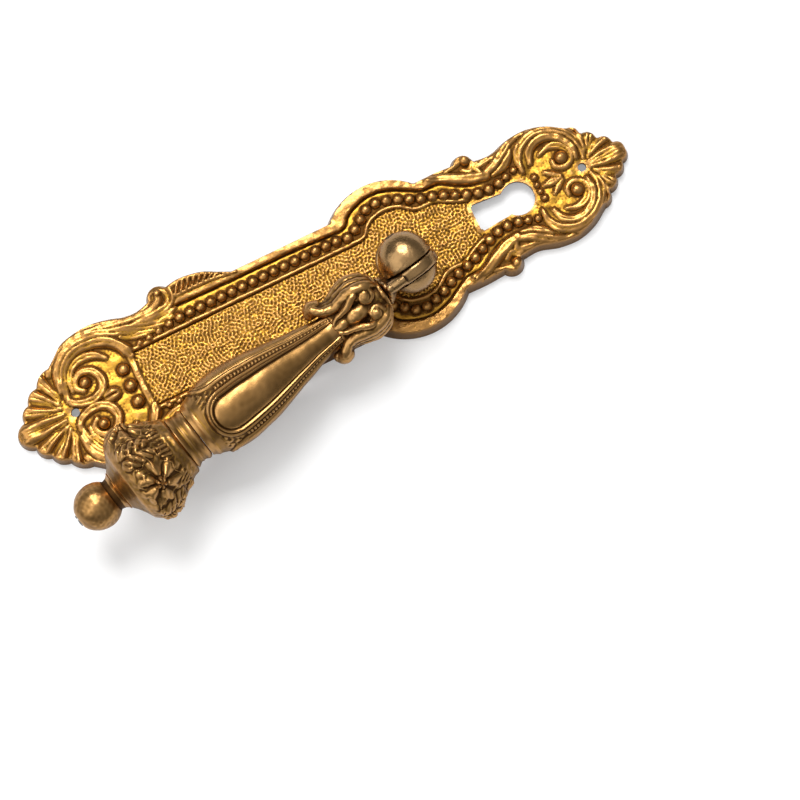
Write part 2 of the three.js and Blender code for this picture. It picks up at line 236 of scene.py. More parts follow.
def face_outward(mesh, weld=0):
    """Turn a mesh's faces outward, after welding the vertices that lie within a distance."""
    shell = bmesh.new()
    shell.from_mesh(mesh)
    if weld:
        bmesh.ops.remove_doubles(shell, verts=shell.verts, dist=weld)
    bmesh.ops.recalc_face_normals(shell, faces=shell.faces)
    shell.to_mesh(mesh)
    shell.free()


def vertex_values(mesh, name):
    """One row for each vertex: its place in metres ("co") or its direction ("normal")."""
    values = np.empty(len(mesh.vertices) * 3)
    mesh.vertices.foreach_get(name, values)
    return values.reshape(-1, 3)


def new_piece(name, vertices, faces, body, nodes, material):
    """A dressed piece from millimetre vertices already in the frame's axes."""
    mesh = bpy.data.meshes.new(name)
    mesh.from_pydata((np.asarray(vertices) * MM).tolist(), [], [tuple(f) for f in faces])
    dress(placed(name, mesh), body, nodes, material)
    face_outward(mesh)


def dress(piece, body, nodes, material, sharp=55):
    """Shade a piece, note where it is worn and hollow, and tie it to the frame."""
    mesh = piece.data
    mesh.shade_smooth()
    mesh.set_sharp_from_angle(angle=math.radians(sharp))
    mesh.materials.clear()
    mesh.materials.append(material)
    note_relief(mesh)
    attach(piece, body)
    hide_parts(*nodes)


def note_relief(mesh):
    """Store how far each vertex stands out from its smoothed surroundings, fine and broad."""
    count = len(mesh.vertices)
    place = vertex_values(mesh, "co") / MM
    normal = vertex_values(mesh, "normal")
    ends = np.empty(len(mesh.edges) * 2, int)
    mesh.edges.foreach_get("vertices", ends)
    a, b = ends.reshape(-1, 2).T
    span = np.linalg.norm(place[a] - place[b], axis=1).mean()
    degree = np.maximum(np.bincount(a, minlength=count) + np.bincount(b, minlength=count), 1)
    smooth = place.copy()
    done = 0
    for name, reach in (("fine", 0.55), ("broad", 1.7)):
        passes = max(2, int(2 * (reach / span) ** 2))
        for _ in range(done, passes):
            total = np.stack([np.bincount(a, smooth[b, k], count) + np.bincount(b, smooth[a, k], count)
                              for k in range(3)], axis=1)
            smooth = 0.5 * smooth + 0.5 * total / degree[:, None]
        done = passes
        out = ((place - smooth) * normal).sum(1) / reach
        layer = mesh.attributes.new(name, "FLOAT", "POINT")
        layer.data.foreach_set("value", out.astype(np.float32))


def triangulate(loop, inner):
    """Points and triangles over a closed outline with loose points inside it."""
    both = [Vector(p) for p in np.vstack([loop, inner])]
    points, _, faces, *_ = geometry.delaunay_2d_cdt(both, [], [list(range(len(loop)))], 1, 1e-6)
    return np.array([tuple(p) for p in points]), faces


# ---------------------------------------------------------------- the plate's outline

def plate_side():
    """Half of the plate's outline, from its handle-end tip to its keyhole-end tip."""
    foot = [(0, 0), (3, 3.7), (5.7, 7.3), (9.4, 10.4), (14.1, 13.6)]
    tip = [(156.5, 11.5), (159.5, 8.6), (162.7, 5.8), (165.8, 3.1), (LENGTH, 0)]
    lobe = 0.85
    parts = [bulge(a, b, lobe) for a, b in zip(foot, foot[1:])]
    parts.append(spline([(14.1, 13.6), (16.6, 15.6), (19, 17.5), (23, 18.7), (28.5, 19.1), (33, 18.2),
                         (36.6, 17.1), (40, 16.9), (43, 17.7)])[:-1])
    parts.append(bulge((43, 17.7), (49, 19.4), 2.0))
    parts.append(spline([(49, 19.4), (52, 19.9), (56, 19.6), (59, 18.9), (62.2, 17.3), (65.5, 15.7)])[:-1])
    parts.append(straight((65.5, 15.7), (92.1, 15.7)))
    parts.append(bulge((92.1, 15.7), (116.1, 15.7), 5))
    parts.append(spline([(116.1, 15.7), (121, 15.8), (126.3, 15.5)])[:-1])
    parts.append(bulge((126.3, 15.5), (132.2, 14.1), 2.1))
    parts.append(spline([(132.2, 14.1), (136, 13.8), (142, 15.4), (147, 15.7), (152, 14.3),
                         (156.5, 11.5)])[:-1])
    parts.extend(bulge(a, b, lobe) for a, b in zip(tip, tip[1:]))
    return np.vstack(parts + [[(LENGTH, 0)]])


def arc(u, radius, stop=math.pi, step=STEP):
    """From the far side of a round hole over its top, as far round as stop."""
    count = max(8, math.ceil(stop * radius / step))
    angle = np.linspace(0, stop, count + 1)
    return np.stack([u + radius * np.cos(angle), radius * np.sin(angle)], axis=1)


def key_side():
    """Half of the keyhole, from its round head to its foot."""
    head = arc(KEY_U, KEY_HEAD, math.pi - math.asin(KEY_WAIST / KEY_HEAD))
    foot_u = KEY_U - KEY_SLOT
    corner, corner_rise = 0.6, 0.17
    return np.vstack([head[:-1], straight(head[-1], (foot_u + corner, KEY_FOOT)),
                      bulge((foot_u + corner, KEY_FOOT), (foot_u, KEY_FOOT - corner), corner_rise),
                      straight((foot_u, KEY_FOOT - corner), (foot_u, 0)), [(foot_u, 0)]])


def plate_loop(side):
    """The closed outline of half the plate: its side, then the middle line with half of each hole."""
    foot_nail, head_nail = (arc(u, NAIL_HOLE, step=0.2) for u in NAIL_US)
    holes = [head_nail, key_side(), arc(POST_U, POST_HOLE), foot_nail]
    parts = [side]
    here = side[-1]
    for hole in holes:
        parts += [straight(here, hole[0])[1:], hole]
        here = hole[-1]
    return np.vstack(parts + [straight(here, side[0])[1:]])


# ---------------------------------------------------------------- the plate's relief

PANEL_EDGE = [(35, 7.2, 0.65), (97.6, 7.2, 0.65), (98.9, 7.5, 0.65), (100.75, 9.6, 0.65), (105.1, 11.4, 0.65),
              (109.5, 10.75, 0.65), (113.25, 8.25, 0.65), (118.25, 7.9, 0.65), (122.6, 5.75, 0.65),
              (125.9, 4.5, 0.65)]
BAND_EDGE = [(48.5, 13.2, 0), (60, 12.9, 0), (82, 12.6, 0), (94.4, 12.1, 0), (95.6, 12.5, 0),
             (97, 14.2, 0), (100.75, 16.2, 0), (105.1, 17, 0), (109.5, 16.1, 0), (113.25, 14.2, 0),
             (117, 12.3, 0), (120.75, 12, 0), (125.1, 9.5, 0), (129.5, 7.9, 0), (133.9, 7.9, 0)]
BEAD_LINE = [(49, 10.1), (92, 10.1), (94.8, 9.6), (97.6, 10.75), (99.8, 12.4), (101.7, 13.9),
             (104.5, 14.6), (106.4, 14.2), (108.9, 13.6), (111.7, 12.4), (114.5, 11), (117, 10.2),
             (119.8, 9.4), (122.6, 8.25), (125.1, 7), (127.6, 5.9), (130.1, 5.3), (132.6, 5.2),
             (134.8, 5.5)]

SCROLLS = [
    # the foot's three parallel outer leaves
    [(13.8, 11.2, .7), (15, 13.6, 1), (17.6, 16, 1.2), (21.5, 17.3, 1.25), (26, 17.7, 1.25),
     (30, 17.4, 1.1)],
    [(15, 6, .6), (15.4, 9.6, .9), (17.2, 13, 1.1), (20.6, 15.3, 1.2), (25, 15.9, 1.2),
     (29.5, 15.3, 1.1), (33.5, 13.6, 1), (37, 11.9, .8), (39.5, 11.2, .5)],
    [(15.6, 3.2, .7), (16.3, 7.2, .9), (18, 10.9, 1.1), (21.2, 13.3, 1.2), (25.2, 13.8, 1.25),
     (29.2, 12.9, 1.3), (32.3, 10.6, 1.3), (34, 7.8, 1.4), (34.2, 6.9, 1)],
    # the foot's hooked leaf and its spiral
    [(17.6, 5, .6), (18, 8, .9), (20, 10.6, 1), (23.2, 11.5, 1.1), (26.3, 10.7, 1), (28.4, 9, .6)],
    [(15.4, 4.4, .6), (16.4, 2.4, .9), (18.8, 1.2, 1.1), (22, 1, 1.2), (24.4, 2.5, 1.2),
     (25.2, 5.2, 1.1), (23.9, 7.6, 1), (21.3, 8.4, .9), (19.2, 7.3, .85), (18.8, 5.2, .8),
     (20.1, 3.9, .8)],
    # the foot's ear
    [(30, 17.4, 1), (38, 16.4, .8), (41.5, 16.2, .8), (43.4, 17.2, .8), (44.2, 18.6, .7)],
    [(36, 13.2, .6), (40, 13.4, .8), (44.5, 13.4, 1), (47.8, 14.2, 1.1), (49.2, 16.2, 1.15),
     (48.5, 18.4, 1.1), (46.4, 19.4, 1), (44.6, 18.8, .8)],
    [(30, 16.5, .7), (35, 15.7, .8), (40, 15, .9), (44.2, 15.2, .9), (46.2, 16.4, .9), (46.4, 17.8, .7)],
    # leaves that run from the foot under the beads
    [(32.5, 14.8, .6), (36.5, 13.2, .9), (40.5, 11.8, 1), (44.5, 10.9, 1), (47.4, 11.2, .7)],
    [(34, 12, .6), (37, 10.8, .9), (40, 10.3, .9), (42.6, 10, .5)],
    [(40, 13.4, .5), (43.5, 12.2, .9), (47, 12.3, .9), (49.2, 13, .4)],
    # the fringe's upper line
    [(49.5, 18, .6), (54, 18.6, .75), (58.5, 17.8, .75), (62.5, 16.2, .7), (65.5, 14.9, .4)],
    [(49.5, 15.3, .3), (56, 15.4, .4), (62.5, 14.9, .35), (66.5, 14.2, .3)],
    # the head's parallel leaves
    [(141.5, 5.4, .6), (141.6, 8.4, .9), (143.4, 11.4, 1.1), (147, 13.2, 1.2), (151.2, 12.9, 1.2),
     (154.8, 10.9, 1.2), (157, 7.7, 1.1), (157.6, 4.4, .9), (156.8, 2.2, .5)],
    [(144.2, 6.6, .6), (145.2, 9.2, .9), (148, 10.9, 1), (151.3, 10.6, 1.05), (154, 8.6, 1),
     (155.4, 5.6, .9), (155.2, 2.9, .6)],
    [(147.2, 7.6, .5), (149.6, 8.4, .8), (152.4, 7.6, .9), (154, 5.2, .9), (153.4, 2.9, .8),
     (151.4, 2.1, .8), (149.6, 3.1, .7), (149.4, 4.8, .5)],
    # the long leaf beside the keyhole and its fingers
    [(119, 14.2, .6), (122.5, 13, 1.2), (126.5, 10.9, 1.5), (130, 9.3, 1.5), (132.8, 8.6, 1.1)],
    [(132.4, 9.2, .7), (135.4, 10, 1.1), (138.4, 12, 1.2), (141.5, 13.9, 1.1), (145.6, 14.6, .6)],
    [(134.6, 8, .5), (137.6, 8.6, .9), (140, 10.4, .8), (141.2, 11.8, .4)],
    [(131, 11.4, .5), (134, 12.3, .9), (137, 12.9, .9), (139.6, 13.7, .5)],
    # the head's ear
    [(131.4, 14.3, .9), (132, 12.6, .9), (131.6, 10.8, .7), (132.4, 9.4, .5)],
    [(124, 13.9, .5), (127, 14.6, .8), (129.4, 15.2, 1), (131, 14.4, 1), (131, 12.7, .9),
     (129.6, 11.8, .8), (128.2, 12.7, .6)],
    # the bud between the head's scrolls
    [(144.8, 0, .5), (146.8, 0, 1.1), (149.4, 0, .6)],
    [(149.6, .6, .5), (147.8, 1.8, .8), (146.4, 2.9, .5)],
]

MOUNDS = [
    # under the foot's leaves, the ear, and the head's leaves
    [(14.6, 6, 1.6), (16.6, 11.5, 2.6), (20.5, 15.2, 3.2), (26, 16, 3.4), (31, 13.6, 3.2), (34, 9, 1.8)],
    [(30, 15.5, 2.2), (38, 13.8, 2.6), (44, 14.6, 2.6), (46.5, 17.5, 2.4)],
    [(142, 6, 1.5), (143.6, 10, 2.2), (147.6, 12.2, 3), (152.4, 10.8, 3), (155.6, 6, 2.2), (155, 3, 1.6)],
    [(119, 13.6, 1.4), (126, 11, 2.4), (132, 9.6, 2.4), (138, 10.6, 2.6), (143, 12.6, 2)],
]

SHELL_LOBES = [
    [(13, 0.9, .8), (8, 1.2, 1.4), (3, 0.9, 1.9)],
    [(13, 2.4, .6), (9, 3.6, 1.1), (5.2, 5.2, 1.7)],
    [(13.2, 3.4, .6), (10.6, 6.2, 1.1), (8, 8.6, 1.7)],
    [(13.6, 4.6, .6), (12.2, 8.6, 1.1), (11.2, 11.6, 1.6)],
    [(157.5, 0.5, .8), (161.5, 0.9, 1.3), (165.4, 0.8, 1.7)],
    [(158, 2.2, .6), (161, 3.6, 1.1), (163.8, 4.4, 1.5)],
    [(158.4, 3.4, .6), (160, 5.8, 1.1), (161.4, 7.2, 1.4)],
    [(158.2, 4.8, .6), (158.8, 7.4, 1), (159, 9.4, 1.2)],
]

SHELL_RIBS = [
    # handle end
    [(13.5, 0, .3), (8, 0, .55), (3, 0, .9), (1.6, 0, .5)],
    [(13.2, .7, .35), (9, 1.1, .9), (4.5, 1.6, 1.3), (1.9, 1.5, .9)],
    [(12.6, 1.6, .35), (9, 2.6, .6), (6, 3.6, .8), (4.4, 4.3, .6)],
    [(12.3, 2.2, .3), (9.2, 3.9, .6), (6.6, 5.4, .8), (5.4, 6.2, .5)],
    [(12.6, 2.8, .3), (10.4, 4.9, .6), (8, 6.9, .85), (6.9, 7.9, .5)],
    [(13, 3.4, .3), (11.2, 6, .6), (9.4, 8.3, .85), (8.6, 9.4, .5)],
    [(13.4, 4, .3), (12, 7.2, .6), (10.7, 9.6, .8), (10.2, 10.6, .5)],
    [(13.9, 5, .3), (12.9, 8.4, .6), (12, 11, .8), (11.8, 12, .5)],
    # keyhole end
    [(157.4, 0, .35), (161, 0, .7), (165, 0, 1), (166.8, 0, .5)],
    [(157.6, .9, .35), (161, 1.5, .8), (164.4, 1.7, .9), (166, 1.4, .5)],
    [(157.8, 1.6, .35), (160.8, 2.9, .7), (163.4, 3.8, .8), (164.8, 3.9, .5)],
    [(158.4, 2.6, .35), (160.2, 4.6, .7), (161.9, 6.3, .8), (162.5, 7, .5)],
    [(158.5, 3.8, .35), (159.4, 5.8, .7), (160.3, 7.6, .7), (160.4, 8.2, .4)],
    [(158.4, 5.2, .35), (158.6, 7.4, .7), (158.6, 9.4, .7), (158.4, 10, .4)],
]


def bead_places():
    """Centres and radii of the beads: an even row, then the smaller ones past its ends."""
    pitch, radius = 2.84, 1.36
    path = spline(BEAD_LINE, 0.1)
    run = np.concatenate([[0], np.cumsum(np.linalg.norm(np.diff(path, axis=0), axis=1))])
    at = np.linspace(0, run[-1], round(run[-1] / pitch) + 1)
    beads = [(np.interp(t, run, path[:, 0]), np.interp(t, run, path[:, 1]), radius) for t in at]
    beads += [(137.2, 6.2, 1.1), (139.6, 6.9, 1.0)]
    beads += [(37.5, 8.6, 0.9), (40.2, 8.8, 1.0), (43, 9.2, 1.05), (46, 9.8, 1.15)]
    return beads


def beyond(points, edge_points):
    """Each point's distance from an edge line along the plate, positive outside it."""
    edge = spline(edge_points)
    distance, _ = nearest(points, edge)
    outside = points[:, 1] > np.interp(points[:, 0], edge[:, 0], edge[:, 1])
    return np.where(outside, distance, -distance)


def mounds(points):
    """The soft swellings under the leaves and the lobes of the shells."""
    field = np.zeros(len(points))
    for path in MOUNDS:
        ridge(field, points, path, height=0.3, cap=0.95, base=0, softness=1.5)
    for path in SHELL_LOBES:
        ridge(field, points, path, height=0.42, cap=0.85, base=0, softness=0.9)
    return field


def carving(points, mound):
    """The leaves, ribs, beads, hatching and knobs, lower where a mound lifts them."""
    u, v = points.T
    field = np.zeros(len(points))
    widening, edge_offset = 1.12, 0.75
    for path in SCROLLS:
        wider = [(u0, v0, widening * w) for u0, v0, w in path]
        ridge(field, points, wider, height=0.55, cap=0.9, base=0.15, softness=0.62, vein=0.3)
    field *= 1 - 0.3 * np.clip(mound, 0, 1)
    for path in SHELL_RIBS:
        ridge(field, points, path, height=0.34, cap=0.34, base=0.04, softness=0.9)
    beside_panel = [(u0, v0 + edge_offset, w) for u0, v0, w in PANEL_EDGE]
    ridge(field, points, beside_panel, height=0.3, cap=0.5)
    for bead_u, bead_v, radius in bead_places():
        dome(field, points, (bead_u, bead_v), radius, radius * 0.95, 0.1)
    # the hatched fringe
    hatch_pitch, hatch_lean = 1.5, 1.6
    for start in np.arange(50.5, 63, hatch_pitch):
        top_u = start + hatch_lean
        top_v = np.interp(top_u, [49.5, 54, 58.5, 62.5, 65.5], [18, 18.3, 17.6, 16.2, 15])
        ridge(field, points, [(start, 15.6, .3), (top_u, top_v - 0.2, .55)])
    # small knobs: the head's scroll eyes and ears, the foot's scroll eyes, and the drops
    knobs = [(151.8, 4.6, 1.75, 1.6), (129.9, 14.6, 1.5, 1.5), (21.2, 5.6, 1.5, 1.5),
             (31, 4.4, 1.6, 1.5), (31, 0, 1.6, 1.5), (143.5, 2.9, 0.9, 0.9), (143.3, 0.9, 0.8, 0.8),
             (46.6, 17.9, 0.9, 1.3)]
    for knob_u, knob_v, radius, rise in knobs:
        dome(field, points, (knob_u, knob_v), radius, rise)
    # the foot's small middle leaf, and the bar at the panel's end
    leaf = np.clip(1 - ((u - 25.9) / 2.4) ** 2 - (v / 1.9) ** 2, 0, None) ** 0.5
    bar = window(u, (32.8, 33.3), (34.3, 34.9)) * (1 - smooth_step(v, 6.6, 7.2))
    return np.maximum(np.maximum(field, leaf * (1.0 - 0.35 * hump(v, 0, 0.25))), 0.45 * bar)


def plate_top(points, rng):
    """The plate's front, without the fall to its edge."""
    u = points[:, 0]
    from_panel = beyond(points, PANEL_EDGE)
    from_band = beyond(points, BAND_EDGE)
    key = key_side()
    from_key, _ = nearest(points, np.column_stack([key, np.zeros(len(key))]))

    height = FACE_HEIGHT + 0.06 * waves(points, 5, rng)
    height -= 0.35 * np.maximum(smooth_step(-u, -14, -2), smooth_step(u, 157, 166))
    middle = window(u, (PANEL_START - 0.5, PANEL_START), (140, 143))
    grain = np.tanh(1.3 * waves(points, 0.9, rng, 48))
    panel = smooth_step(-from_panel, -0.1, 0.25) * middle
    height += panel * (0.02 + 0.1 * grain * smooth_step(from_key, 0.4, 1.2))
    band = smooth_step(from_band, 0, 0.35) * window(u, (48.5, 50), (119, 122))
    height += band * (0.8 + 0.14 * crown((from_band - 1.7) / 2.2, 1))
    mound = mounds(points)
    height += np.minimum(carving(points, mound) + mound, MOST_RELIEF)
    # cut lines beside the band and round the panel
    height -= 0.4 * hump(from_band, 0, 0.28) * window(u, (48, 49.5), (130, 133))
    height -= 0.25 * hump(from_panel, 0.05, 0.18) * middle
    return height + 0.03 * waves(points, 2.2, rng) + 0.012 * waves(points, 0.8, rng)


def soft_minimum(a, b, blend):
    """The lower of two fields, rounded where they cross."""
    h = np.clip(0.5 + 0.5 * (b - a) / blend, 0, 1)
    return b + (a - b) * h - blend * h * (1 - h)


def lattice(low, high, spacing):
    """Points in a triangular pattern over a rectangle."""
    us = np.arange(low[0], high[0], spacing)
    vs = np.arange(low[1], high[1], spacing * math.sqrt(3) / 2)
    grid_u, grid_v = np.meshgrid(us, vs)
    grid_u[1::2] += spacing / 2
    return np.stack([grid_u.ravel(), grid_v.ravel()], axis=1)


def in_panel(points, margin):
    """Which points lie inside the grained panel, by a margin."""
    edge = spline(PANEL_EDGE)
    return points[:, 1] < np.interp(points[:, 0], edge[:, 0], edge[:, 1], left=-1, right=-1) - margin


def plate_piece(material):
    """The plate as one closed, hollow-backed casting: half of it, then its mirror image."""
    rng = np.random.default_rng(SEED)
    pitch = 0.3
    under_pitch = 0.95
    off_middle, off_loop = 0.12, 0.17
    side = plate_side()
    loop = plate_loop(side)
    edge_tree = point_tree(side)
    loop_tree = point_tree(loop)
    tangent = np.gradient(side, axis=0)
    tangent /= np.linalg.norm(tangent, axis=1)[:, None]
    inward = np.stack([tangent[:, 1], -tangent[:, 0]], axis=1)

    def layer(ring_depths, spacing, panel_spacing):
        """Points, faces and depths from the edge of one skin: rings along the edge, then a lattice."""
        rings = [side + inward * depth for depth in ring_depths]
        kept = [ring[distances(edge_tree, ring) > 0.93 * depth] for ring, depth in zip(rings, ring_depths)]
        ring_tree = point_tree(np.vstack(kept), 1)
        wide = lattice((0.4, 0.2), (LENGTH, 22), spacing)
        off_edge = distances(edge_tree, wide) > 0.7 * pitch
        wide = wide[off_edge & (distances(ring_tree, wide) > 0.6 * pitch)]
        fine = lattice((PANEL_START, 0.2), (KEY_U - KEY_SLOT, 12), panel_spacing)
        every = np.vstack(kept + [wide[~in_panel(wide, 0)], fine[in_panel(fine, 0.5 * panel_spacing)]])
        every = every[(every[:, 1] > off_middle) & outside_holes(every)]
        flat, faces = triangulate(loop, every[distances(loop_tree, every) > off_loop])
        return flat, faces, distances(edge_tree, flat)

    edge = slice(len(side))
    top_points, top_faces, top_depth = layer([.3, .6, .85, 1.1, 1.35, 1.6, 1.85], pitch, 0.72 * pitch)
    under_points, under_faces, under_depth = layer([0.6, RIM, RIM + 0.4, RIM + 0.8], under_pitch,
                                                   under_pitch)
    top_depth[edge] = 0
    top = np.maximum(soft_minimum(WALL_SLOPE * top_depth, plate_top(top_points, rng), 0.5), 0)
    top[edge] = 0
    under = np.clip(HOLLOW_SLOPE * (under_depth - RIM), 0, HOLLOW_TOP)
    under[edge] = 0

    half = np.vstack([np.column_stack([top_points, top]), np.column_stack([under_points, under])])
    count = len(top_points)
    middle_line = range(len(side) - 1, len(loop) - 1)
    holes = [i for i in middle_line if max(loop[i, 1], loop[i + 1, 1]) > 0.001]
    faces = [tuple(f) for f in top_faces]
    faces += [tuple(i + count for i in reversed(f)) for f in under_faces]
    faces += [(i + 1, i, i + count, i + 1 + count) for i in holes]
    faces += [tuple(i + len(half) for i in reversed(f)) for f in faces]
    both = np.vstack([half, half * (1, -1, 1)])
    low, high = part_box("backplate")
    both[:, 0] += low[0] / MM
    both[:, 1] += (low[1] + high[1]) / 2 / MM

    mesh = bpy.data.meshes.new("plate_casting")
    mesh.from_pydata((both * MM).tolist(), [], faces)
    face_outward(mesh, weld=0.002 * MM)
    dress(placed("plate_casting", mesh), "plate", ["backplate"], material)


def outside_holes(points):
    """Which points lie clear of the plate's holes."""
    u, v = points.T
    clear = np.hypot(u - POST_U, v) > POST_HOLE
    for nail in NAIL_US:
        clear &= np.hypot(u - nail, v) > NAIL_HOLE
    clear &= np.hypot(u - KEY_U, v) > KEY_HEAD
    return clear & ~((u > KEY_U - KEY_SLOT) & (u < KEY_U) & (v < KEY_WAIST))


def point_tree(points, parts=4):
    """A search tree over a path, or over loose points where parts is one."""
    between = [points[:-1] + (points[1:] - points[:-1]) * k / parts for k in range(parts)]
    fine = np.vstack(between + [points[-1:]])
    tree = kdtree.KDTree(len(fine))
    for i, p in enumerate(fine):
        tree.insert((p[0], p[1], 0), i)
    tree.balance()
    return tree


def distances(tree, points):
    """How far each point lies from the nearest one in a tree."""
    return np.array([tree.find((p[0], p[1], 0))[2] for p in points])


# ---------------------------------------------------------------- the handle's own axes

def joint(name):
    """A joint's row in the record."""
    return next(j for j in frame["record"]["behaviour"]["joints"] if j["name"] == name)


def cad_points(name):
    """The vertices of a CAD node, millimetres."""
    return np.array([tuple(v.co) for v in bpy.data.objects[name].data.vertices]) / MM


def handle_axes():
    """The pivot, and the directions along the handle, across it (the pin) and up."""
    swing = joint("handle_swing")
    pivot = np.array(swing["pos_m"]) / MM
    across = np.array(swing["axis"], float)
    along = cad_points("handle_rod").mean(0) - pivot
    along -= across * (along @ across)
    along /= np.linalg.norm(along)
    up = np.cross(across, along)
    up *= np.sign(up[2])
    return pivot, along, across, up


PIVOT, ALONG, ACROSS, UP = handle_axes()
POST_AXIS = np.array(joint("post_swivel")["axis"], float)
ABOUT_PIN = (1, 0, 2)


def to_handle(points):
    """From (s, lateral, height) to the frame, millimetres."""
    points = np.asarray(points, float)
    return PIVOT + points[:, :1] * ALONG + points[:, 1:2] * ACROSS + points[:, 2:] * UP


def turned_grid(stations, radii, across):
    """Stations, angles and radii over a turned surface, and its points: radii may be a full grid."""
    angle = 2 * math.pi * np.arange(across) / across
    s, theta = np.meshgrid(stations, angle, indexing="ij")
    radius = np.broadcast_to(np.reshape(radii, (len(stations), -1)), s.shape).copy()
    points = np.stack([s, radius * np.sin(theta), radius * np.cos(theta)], axis=2).reshape(-1, 3)
    return s, theta, radius, points


def turned(stations, radii, across):
    """Vertices and faces of a closed turned piece, with a point in the middle of each end."""
    rings = turned_grid(stations, radii, across)[3]
    rows = len(stations)
    vertices = np.vstack([rings, [[stations[0], 0, 0], [stations[-1], 0, 0]]])
    i, j = np.meshgrid(np.arange(rows - 1), np.arange(across), indexing="ij")
    a = (i * across + j).ravel()
    b = (i * across + (j + 1) % across).ravel()
    faces = np.stack([a, b, b + across, a + across], axis=1).tolist()
    last = (rows - 1) * across
    faces += [(len(rings), (k + 1) % across, k) for k in range(across)]
    faces += [(len(rings) + 1, last + k, last + (k + 1) % across) for k in range(across)]
    return vertices, faces


def add_turned(name, stations, radii, nodes, material, across=192):
    """A turned piece of the handle."""
    vertices, faces = turned(stations, radii, across)
    new_piece(name, to_handle(vertices), faces, "handle", nodes, material)


# ---------------------------------------------------------------- the handle's pieces

def body_piece(material):
    """Pear-shaped body: four teardrop panels in double ridges, a milled cord between each two."""
    rng = np.random.default_rng(SEED + 1)
    start, end = BODY_S, COLLAR_S - SEAM
    stations = np.linspace(start, end, 250)
    across = 272
    profile = spline([(start, 4.1), (27, 4.3), (30, 4.75), (35, 5.8), (40, 7.0), (46, 8.35), (51, 9.05),
                      (55, 9.25), (58.5, 9.0), (61.5, 8.2), (63.2, 7.5), (end, 6.8)], 0.2)
    s, theta, radius, around = turned_grid(stations, np.interp(stations, *profile.T), across)
    quarter = math.pi / 2
    turn = (theta + quarter / 2) % quarter - quarter / 2
    size = radius / 9
    # distance from a teardrop's middle line, one at the teardrop's edge
    round_end = 55.3
    half = 0.6 * quarter / 2 * radius
    d = np.hypot(np.maximum(0, s - round_end), turn * radius) / half
    relief = 0.42 * crown(d) * smooth_step(s, start, 30)
    for place, width, rise in ((1.14, 0.085, 0.5), (1.37, 0.1, 0.6), (1.02, 0.05, -0.25)):
        relief += rise * size * hump(d, place, width)
    # the cord, and the grain in the corners between the teardrops
    mill_pitch = 0.95
    cord = (quarter / 2 - np.abs(turn)) * radius
    milled = 0.65 + 0.35 * np.cos(2 * math.pi * s / mill_pitch)
    relief += 0.6 * size * crown(cord / (0.62 * size)) * milled * (1 - smooth_step(s, 54.5, 56))
    corner = smooth_step(d, 1.46, 1.56) * window(s, (56, 57.5), (60, 61.5))
    relief += corner * 0.09 * np.tanh(1.5 * waves(around, 1.2, rng).reshape(s.shape))
    relief += 0.22 * hump(s, 63.4, 0.5)
    relief += (0.04 * waves(around, 6.5, rng) + 0.006 * waves(around, 1.7, rng)).reshape(s.shape)
    add_turned("pear_body", stations, radius + relief, ["handle_body"], material, across)


def collar_piece(material):
    """Double ring between the body and the knob, its end edges rounded."""
    start, end = COLLAR_S, KNOB_S - SEAM
    stations = np.linspace(start, end, 60)
    t = (stations - start) / (end - start)
    radii = 6.35 + 0.55 * hump(t, 0.2, 0.17) + 0.2 * hump(t, 0.56, 0.08)
    radii += 0.85 * smooth_step(t, 0.6, 0.98)
    radii *= 1 - 0.1 * np.clip(1 - np.minimum(t, 1 - t) / 0.05, 0, 1) ** 2
    add_turned("double_collar", stations, radii, ["handle_collar"], material)


